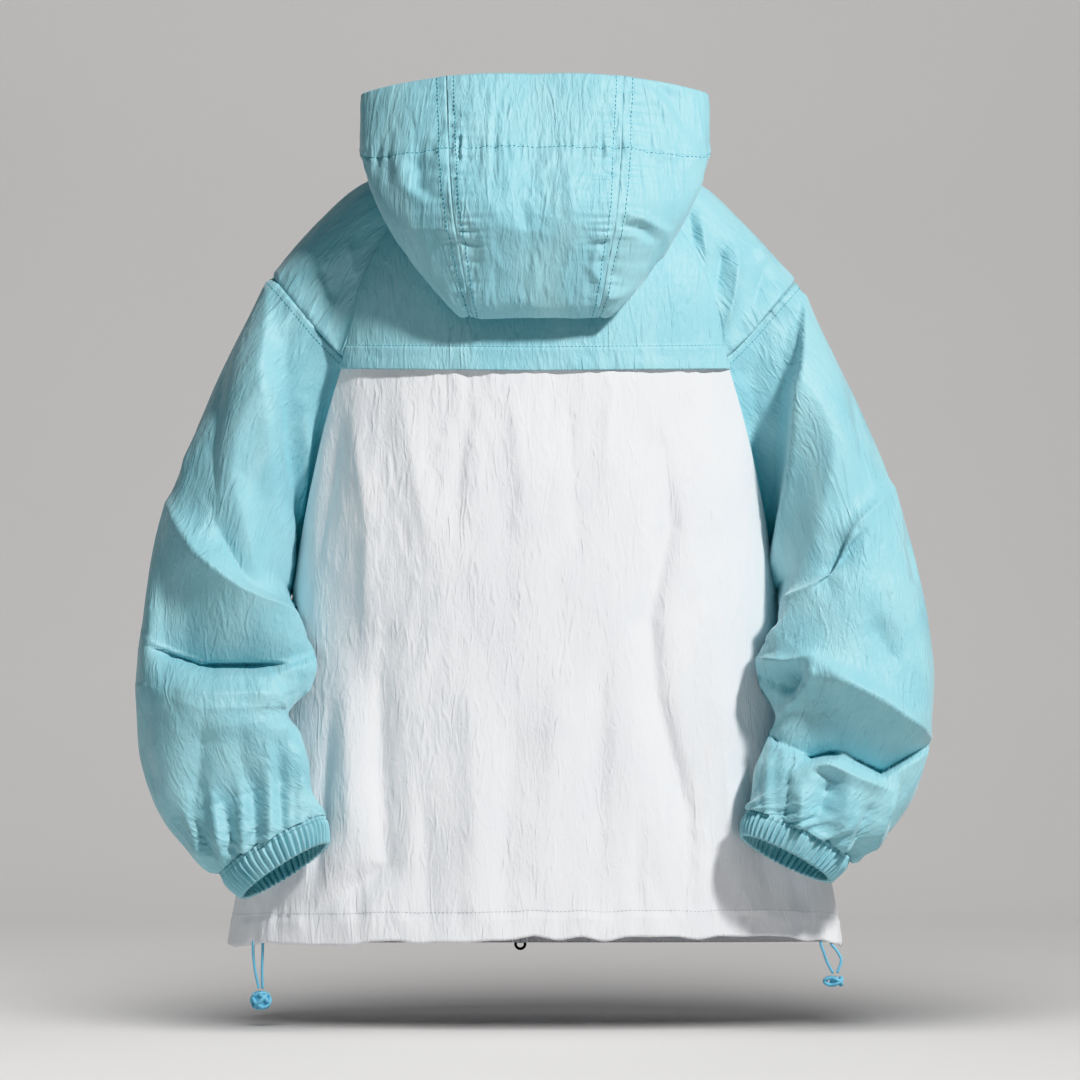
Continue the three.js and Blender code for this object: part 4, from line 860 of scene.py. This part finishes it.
for name, side, folds, flat_folds in (
    ("left", 1, LEFT_FOLDS, LEFT_FACETS), ("right", -1, RIGHT_FOLDS, RIGHT_FACETS),
):
    for part, low, high, rows in (
        ("shoulder", 0.0, DROP_SEAM, SHOULDER_ROWS), ("sleeve", DROP_SEAM, SLEEVE_END, SLEEVE_ROWS),
    ):
        around, level = np.meshgrid(np.linspace(0, 1, SLEEVE_SPAN), np.linspace(low, high, rows))
        base = sleeve_point(name, side, around, level)
        normals = grid_normals(base, side)
        u, v = run_lengths(base)
        ends = np.minimum(around, 1 - around) * SLEEVE_ROUND
        free = ease(ends, 0, 14)
        behind = ease(normals[..., 1], 0, 0.4)
        facing = ease(-normals[..., 1], 0, 0.5)
        shown_folds = folds if part == "sleeve" else SHOULDER_FOLDS[name]
        x, z = side * base[..., 0], base[..., 2]
        folded = FOLD_GAIN * behind * fold_height(shown_folds, x, z, crisp=FOLD_CRISP)
        height = free * (folded + FRONT_GAIN * facing * fold_height(shown_folds, x + 8, z - 14))
        seed = SLEEVE_SEEDS[name]
        height += free * crinkle(u, v, seed, coarse=1.1)
        from_drop = (level - DROP_SEAM) * DROP_RUN
        height += free * puckers(u, from_drop, seed + 20, every=6, high=1.7, reach=13)
        height = height * ease(np.abs(from_drop), 0, 4) - 0.3 * np.exp(-((from_drop / 1.5) ** 2))
        from_cuff = (SLEEVE_END - level) * CUFF_RUN
        gathers = 5.4 * creases(u / 15, from_cuff / 60, seed + 30) * np.exp(-from_cuff / 32)
        gathers += 3.2 * creases(u / 7, from_cuff / 36, seed + 33) * np.exp(-from_cuff / 16)
        height += gathers * ease(level, 2, 2.3) * ease(ends, 0, 12)
        height -= 1.5 * ease(level, CUFF_SEAM, SLEEVE_END)
        made = base + normals * height[..., None]
        if part == "sleeve":
            to_back = ease(normals[..., 1], -0.1, 0.25) * ease(ends, 0, 7)
            made[..., 1] += to_back * facets(flat_folds, x, z)
            made = np.where((level > 1.15)[..., None], clear_of_body(made, CLOTH_CLEARANCE), made)
        out = grid_normals(made, side)
        piece = cloth(f"{part}_{name}_cloth", made, side, u, v, aqua_nylon)
        if part == "shoulder":
            shown(piece, f"shoulder_{name}")
        else:
            shown(piece, f"sleeve_{name}")
            drop_line = grid_line(made, out, row=2)
            sewn(f"drop_seam_stitching_{name}", [drop_line], aqua_thread, "nylon_aqua")

# Cuffs. The sleeve end is doubled over a band of flat elastic and stitched, so it draws up into
# about 52 pleats, deepest at the cuff's edge.
PLEATS, PLEAT_HIGH, CUFF_BULGE, PLEAT_SCALE = 52, 1.9, 1.6, 50
CUFF_COLUMNS, CUFF_ROWS, CUFF_STITCH_ROW, CUFF_CLOTH = 432, 14, 2, 1.0
CUFF_ROUND, CUFF_DEEP = 280, 24
LEFT_EDGE = dict(out_x=263, out_z=-634, in_x=186, in_z=-586, mid=119, deep=31, slope=0.28)
RIGHT_EDGE = dict(out_x=265, out_z=-619, in_x=185, in_z=-579, mid=119, deep=31, slope=0.28)


def cuff_points(name, side, edge, turn, share):
    """Ring of pleats: an oval from the sleeve's end to the cuff edge, its size waved once a pleat."""
    table = SLEEVE_TABLES[name]
    r = {key: table[key][-1] * (1 - share) + edge[key] * share for key in edge}
    uneven = 1 + 0.5 * lumps(turn * 6, share * 2, 101 + side)
    wave = np.sin(PLEATS * turn + 0.9 * lumps(turn * 5, share, 103 + side))
    pleat = PLEAT_HIGH * uneven * wave * np.minimum(1, 0.5 + 1.3 * share)
    pleat = pleat - np.exp(-((share - 0.1) / 0.07) ** 2) + CUFF_BULGE * np.sin(np.pi * np.clip(share, 0, 1))
    outer = np.stack([side * r["out_x"], r["mid"], r["out_z"]], axis=-1)
    inner = np.stack([side * r["in_x"], r["mid"], r["in_z"]], axis=-1)
    point = (outer + inner) / 2 + (outer - inner) / 2 * (np.cos(turn) * (1 + pleat / PLEAT_SCALE))[..., None]
    point[..., 1] += r["deep"] * np.sin(turn) * (1 + pleat / r["deep"])
    point[..., 2] += r["slope"] * r["deep"] * np.sin(turn) * (1 + pleat / r["deep"])
    return point


for name, side, edge in (("left", 1, LEFT_EDGE), ("right", -1, RIGHT_EDGE)):
    lap = np.linspace(0, 1, CUFF_COLUMNS, endpoint=False)
    turn, share = np.meshgrid(2 * np.pi * lap, np.linspace(0.0, 1, CUFF_ROWS))
    points = cuff_points(name, side, edge, turn, share)
    u, v = np.meshgrid(CUFF_ROUND * lap, np.linspace(0, CUFF_DEEP, CUFF_ROWS))
    piece = cloth(f"cuff_{name}_cloth", points, -side, u, v, aqua_nylon, thickness=CUFF_CLOTH, closed=True)
    shown(piece, f"cuff_{name}")
    ring = cuff_points(name, side, edge, turn[CUFF_STITCH_ROW], share[CUFF_STITCH_ROW])
    out = ring - ring.mean(axis=0)
    out /= np.linalg.norm(out, axis=1)[:, None]
    sewn(f"cuff_stitching_{name}", [(ring + out * 0.2, out)], aqua_thread, "nylon_aqua")

# Hood. A centre panel and two sides of aqua nylon, laid back off the neck so that it hangs as an
# open bag. Both long seams are felled and stitched twice, and a gathered tunnel seam crosses it.
HOOD_SEAM = 0.34
HOOD_COLUMNS = "level cy cz kx ky kz sx sy sz gx gy gz fx fy fz ex ey ez".split()
HOOD = [
    (0, 106, 106, 80, 104, 104, 154, 74, 92, 152, 26, 82, 118, -42, 46, 52, -92, 4),
    (0.16, 136, 36, 77, 133, 35, 153, 96, 30, 149, 36, 50, 114, -38, 38, 46, -91, -2),
    (0.3, 163, -20, 73, 157, -20, 141, 112, -14, 141, 46, 36, 110, -35, 34, 41, -90, -8),
    (0.42, 162, -62, 66, 156, -61, 121, 120, -50, 132, 52, 27, 107, -32, 32, 36, -89, -14),
    (0.52, 152, -100, 59, 148, -99, 92, 126, -84, 122, 56, 21, 104, -30, 31, 32, -88, -20),
    (0.6, 134, -114, 54, 131, -113, 76, 118, -94, 114, 57, 19, 101, -29, 30, 28, -87, -25),
    (0.72, 117, -86, 53, 115, -84, 82, 104, -58, 106, 54, 24, 98, -28, 29, 22, -85, -30),
    (0.87, 96, -26, 53, 91, -24, 84, 74, -6, 98, 36, 29, 97, -28, 31, 18, -83, -34),
    (0.94, 83, 8, 53, 74, 11, 84, 53, 17, 95, 26, 27, 92, -30, 22, 16, -81, -38),
]
NECK_LIFT = 1.0
HOOD_TUCK = 12
STATIONS = dict(c=0.0, k=HOOD_SEAM, s=0.58, g=0.72, f=0.87, e=1.0)
STATION_TURNS = dict(c=0, k=34, s=58, g=78, f=112, e=171)


def hood_tables():
    """Each station's distance from the neck seam, by row: the rows less the neck point, then nothing."""
    rows = {key: [row[k] for row in HOOD] for k, key in enumerate(HOOD_COLUMNS)}
    rows["cx"] = [0.0] * len(HOOD)
    for key, turn in STATION_TURNS.items():
        for axis, place in zip("xyz", neck_point(np.array(float(turn)), 1)):
            rows[key + axis] = [value - place for value in rows[key + axis]] + [0.0]
    rows["level"].append(1.0)
    return rows


HOOD_TABLES = hood_tables()


def hood_point(across, down):
    """Hood: the neck curve plus an offset, cubic down the rows and then across the stations."""
    at, stations = np.abs(across), list(STATIONS.values())
    offset = []
    for axis in "xyz":
        lines = [through(HOOD_TABLES, "level", key + axis)(down) for key in STATIONS]
        mirrored = -lines[1] if axis == "x" else lines[1]
        offset.append(cubic([-STATIONS["k"]] + stations, np.stack([mirrored] + lines, axis=-1), at))
    neck = neck_point(cubic(stations, list(STATION_TURNS.values()), at), 1)
    point = neck + (np.stack(offset, axis=-1) + (0, 0, NECK_LIFT))
    point[..., 0] *= np.where(across < 0, -1, 1)
    return point


HOOD_FOLDS = [
    ([(112, 30), (104, 18), (106, 4), (92, -6)], 5, -4, 0.3), ([(124, 32), (116, 4), (96, -14)], 6, 3, 0),
    ([(-66, -38), (-92, -24), (-118, -36), (-116, -56)], 5, 3.5, -0.3), ([(-92, -30), (-108, -44)], 5, -3, 0),
    ([(-60, -40), (-50, -70), (-66, -96), (-84, -90)], 6, 4, 0.3), ([(-64, -56), (-70, -82)], 8, -4, 0),
    ([(-104, 106), (-122, 88), (-140, 50)], 7, -4, 0.4), ([(-92, 104), (-112, 82), (-128, 60)], 6, 3, 0),
    ([(-76, -20), (-104, -30)], 4, 2.4, 0), ([(-74, -28), (-104, -42)], 4, -2.4, 0),
    ([(12, -10), (6, -40)], 5, -2.4, 0), ([(-30, 26), (-34, -30)], 6, 1.8, 0),
    ([(26, 30), (22, -10)], 5, 1.8, 0), ([(46, 0), (30, -34), (-20, -42)], 8, 1.6, 0),
    ([(60, -30), (50, -90)], 10, -2, 0),
]
HOOD_ROWS = 220
TUNNEL_SEAM, FELL_STITCH, FELL_HALF = 0.155, 0.024, 6.2
# Millimetres across half the hood, and down all of it as counted from its ends and from the tunnel
HOOD_ACROSS, HOOD_DOWN, TUNNEL_DOWN = 250, 420, 440
HOOD_PIECES = (
    ("hood_left", HOOD_SEAM, 1.0, 71, 131), ("hood_centre", -HOOD_SEAM, HOOD_SEAM, 105, 135),
    ("hood_right", -1.0, -HOOD_SEAM, 71, 133),
)
hood_lines = []
for name, low, high, columns, seed in HOOD_PIECES:
    across, down = np.meshgrid(np.linspace(low, high, columns), np.linspace(0, 1, HOOD_ROWS))
    base = hood_point(across, down)
    normals = grid_normals(base, 1)
    u, v = run_lengths(base)
    to_seam = (np.abs(across) - HOOD_SEAM) * HOOD_ACROSS
    free = ease(np.minimum(down, 1 - down) * HOOD_DOWN, 0, 12)
    outside = ease(0.62 - down, -0.02, 0.06)
    height = free * crinkle(u, 2.2 * v, 121, coarse=0.8) * (0.25 + 0.75 * outside)
    height += free * outside * fold_height(HOOD_FOLDS, base[..., 0], base[..., 2], crisp=1.5)
    felled = np.exp(-((to_seam / FELL_HALF) ** 4))
    height = height * (1 - 0.6 * felled)
    upper = ease(0.42 - down, -0.1, 0.12)
    beside = puckers(v, np.maximum(np.abs(to_seam) - 5, 0), seed, every=3.4, high=2.6, reach=13)
    height += outside * free * (0.35 + 0.65 * upper) * beside * (1 - 0.6 * felled)
    tunnel = (down - TUNNEL_SEAM) * TUNNEL_DOWN
    height += free * puckers(u, tunnel, seed + 1, every=3.6, high=2.8, reach=13)
    height = height * (1 - np.exp(-((to_seam / 2.6) ** 2))) + 0.9 * felled
    height = np.where(outside < 0.02, np.minimum(height, 0.3), height)
    made = base + normals * height[..., None]
    made[..., 1] -= HOOD_TUCK * ease(-base[..., 2], 5, 100) * ease(0.66 - down, 0, 0.1)
    out = grid_normals(made, 1)
    piece = cloth(f"{name}_cloth", made, 1, u, v, aqua_nylon)
    shown(piece, name)
    hood_lines.append(grid_line(made, out, row=int(round(TUNNEL_SEAM * (HOOD_ROWS - 1)))))
    stitched = HOOD_SEAM + (-FELL_STITCH if name == "hood_centre" else FELL_STITCH)
    column = int(np.argmin(np.abs(np.abs(across[0]) - stitched)))
    both = {column, columns - 1 - column} if name == "hood_centre" else {column}
    hood_lines += [grid_line(made, out, column=k) for k in sorted(both)]
sewn("hood_stitching", hood_lines, aqua_thread, "nylon_aqua", long=3.0, gap=1.3, thread=0.42, rise=0.15)

# Zip. Two-way moulded zip on woven tape, closed, with a black slider and ring pull at each end.
# The lower ring is the one that shows under the back hem.
TOOTH_PITCH = 3.2
TOOTH_RADII = (1.9, 0.9, 1.15)
TOOTH_SIDE = 1.0
TOOTH_SEAT, TOOTH_LEVELS, ZIP_RUN = -0.5, (0.16, 1.95), 324
RING_RADIUS, RING_WIRE, RING_POINTS, RING_SIDES = 4.5, 1.3, 72, 20
RING_EYES = {"pull_lower": (13.99, -128.03, -689.41), "pull_upper": (0.0, -105.11, -76.56)}


def zip_point(offset, level):
    """Point on the front beside the zip's middle: the body ring at the height of that level."""
    top = neck_height(180.0 + 0 * level)
    lower = UNDERARM_Z + (level - 1) * (HEM_FRONT_Z - UNDERARM_Z)
    z = np.where(level <= 1, top + level * (UNDERARM_Z - top), lower)
    x = ZIP_SWING * ease(level, 0.8, 2) + offset
    angle = np.sign(x) * np.arcsin((np.abs(x) / half_width(-z)) ** (ROUNDNESS / 2))
    return ring_point("front", angle, z)


def finish_node(name, material):
    """A CAD part that keeps its own shape takes the material."""
    for material_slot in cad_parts[name].material_slots:
        material_slot.material = material


# Woven polyester tape: matt, with a fine slanting twill
tape_finish = patterned(
    "woven_polyester_tape", "ShaderNodeTexWave", {"Scale": 300, "Distortion": 0.5},
    linear("#e3e6ec"), linear("#f3f5f8"), bump=(0.4, 0.0002), settings={"bands_direction": "DIAGONAL"},
    Roughness=0.8, Sheen_Weight=0.2,
)
# Black painted zinc: a satin coat that is a little uneven and thins to a paler tone in specks
zinc_finish = patterned(
    "painted_zinc_black", "ShaderNodeTexNoise", {"Scale": 900, "Detail": 4},
    linear("#121214"), linear("#26262a"), rough=(0.32, 0.48), Coat_Weight=0.3, Coat_Roughness=0.25,
)
for name in ("zip_tape_left", "zip_tape_right"):
    finish_node(name, tape_finish)
for name in ("slider_lower", "slider_lower_eye", "slider_upper", "slider_upper_eye"):
    finish_node(name, zinc_finish)
teeth = []
for k, tooth_level in enumerate(np.arange(*TOOTH_LEVELS, TOOTH_PITCH / ZIP_RUN)):
    seat = zip_point(TOOTH_SIDE * (1 if k % 2 else -1), np.array(float(tooth_level)))
    teeth.append(ball(seat + (0, TOOTH_SEAT, 0), TOOTH_RADII, around=8, rings=5))
on_jacket(put_mesh("zip_teeth", *joined(teeth), tape_finish))
for node, eye in RING_EYES.items():
    turn = np.linspace(0, 2 * np.pi, RING_POINTS, endpoint=False)
    hoop = np.array(eye) + RING_RADIUS * np.stack([np.sin(turn), 0 * turn, np.cos(turn) - 1], axis=1)
    piece = put_mesh(f"{node}_ring", *tube(hoop, RING_WIRE, RING_SIDES, closed=True), zinc_finish)
    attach(piece, "lower_pull" if node == "pull_lower" else "upper_pull")
    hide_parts(node)

# Studio. A pale grey paper sweep behind and under the jacket, a crisp key lamp high on the
# picture's right and broad soft fill, as in the photo.
FLOOR_Z = -0.755
SWEEP_START, SWEEP_RADIUS, SWEEP_TOP = -1.3, 0.9, 3.0
PAPER_GREY, PAPER_PALE = "#d6d4d3", "#d9d7d6"
FLOOR_END, PAPER_HALF_WIDTH = 3.5, 4.0
# Each lamp: its direction from the picture's centre, distance, size, power and colour
LAMPS = {
    "key_lamp": ((-0.52, 0.56, 0.65), 3.2, 0.3, 112.0, (1.0, 0.99, 0.97)),
    "fill_lamp": ((0.75, 0.65, 0.1), 3.0, 1.5, 3.0, (0.95, 0.98, 1.0)),
    "paper_lamp": ((0.05, 0.62, 1.0), 2.8, 2.6, 118.0, (1.0, 0.99, 0.98)),
}
WORLD_COLOUR, WORLD_STRENGTH = (0.88, 0.95, 1.0, 1.0), 0.14
arc = np.linspace(0, np.pi / 2, 24)
profile = np.concatenate([
    [[FLOOR_END, FLOOR_Z]],
    np.stack([SWEEP_START - SWEEP_RADIUS * np.sin(arc), FLOOR_Z + SWEEP_RADIUS * (1 - np.cos(arc))], axis=1),
    [[SWEEP_START - SWEEP_RADIUS, SWEEP_TOP]],
])
sheet = np.stack([
    np.tile([-PAPER_HALF_WIDTH, PAPER_HALF_WIDTH], (len(profile), 1)),
    np.repeat(profile[:, :1], 2, axis=1), np.repeat(profile[:, 1:], 2, axis=1),
], axis=-1)
# Matt studio paper: one even grey, with clouds too faint to see as a pattern
paper = patterned(
    "backdrop_paper", "ShaderNodeTexNoise", {"Scale": 3, "Detail": 2}, linear(PAPER_GREY), linear(PAPER_PALE),
    Roughness=0.9,
)
backdrop = put_mesh("backdrop", sheet / MM, grid_faces(len(profile), 2, columns_close=False), paper)


def lamp(name, direction, distance, size, power, colour):
    """Square lamp at a distance along a direction from the picture's centre, facing that centre."""
    data = bpy.data.lights.new(name, "AREA")
    data.size = size
    data.energy = power
    data.color = colour
    made = bpy.data.objects.new(name, data)
    direction = np.asarray(direction, dtype=float) / np.linalg.norm(direction)
    made.location = np.array(VIEW_CENTRE) + direction * distance
    pitch = math.acos(direction[2])
    made.rotation_euler = (pitch, 0, math.atan2(direction[0], -direction[1]))
    bpy.context.scene.collection.objects.link(made)
    return made


def lights_only(lamp_object, name, pieces):
    """The lamp falls on these pieces and on nothing else, as a lamp with barn doors does."""
    group = bpy.data.collections.new(name)
    for piece in pieces:
        group.objects.link(piece)
    lamp_object.light_linking.receiver_collection = group


lamps = {name: lamp(name, *row) for name, row in LAMPS.items()}
jacket_meshes = [o for o in bpy.context.scene.objects if o.type == "MESH" and o != backdrop]
lights_only(lamps["key_lamp"], "lit_by_key", jacket_meshes)
lights_only(lamps["paper_lamp"], "lit_by_paper_lamp", [backdrop])
world = bpy.data.worlds.new("studio")
world.use_nodes = True
sky = world.node_tree.nodes["Background"]
sky.inputs["Color"].default_value = WORLD_COLOUR
sky.inputs["Strength"].default_value = WORLD_STRENGTH
bpy.context.scene.world = world
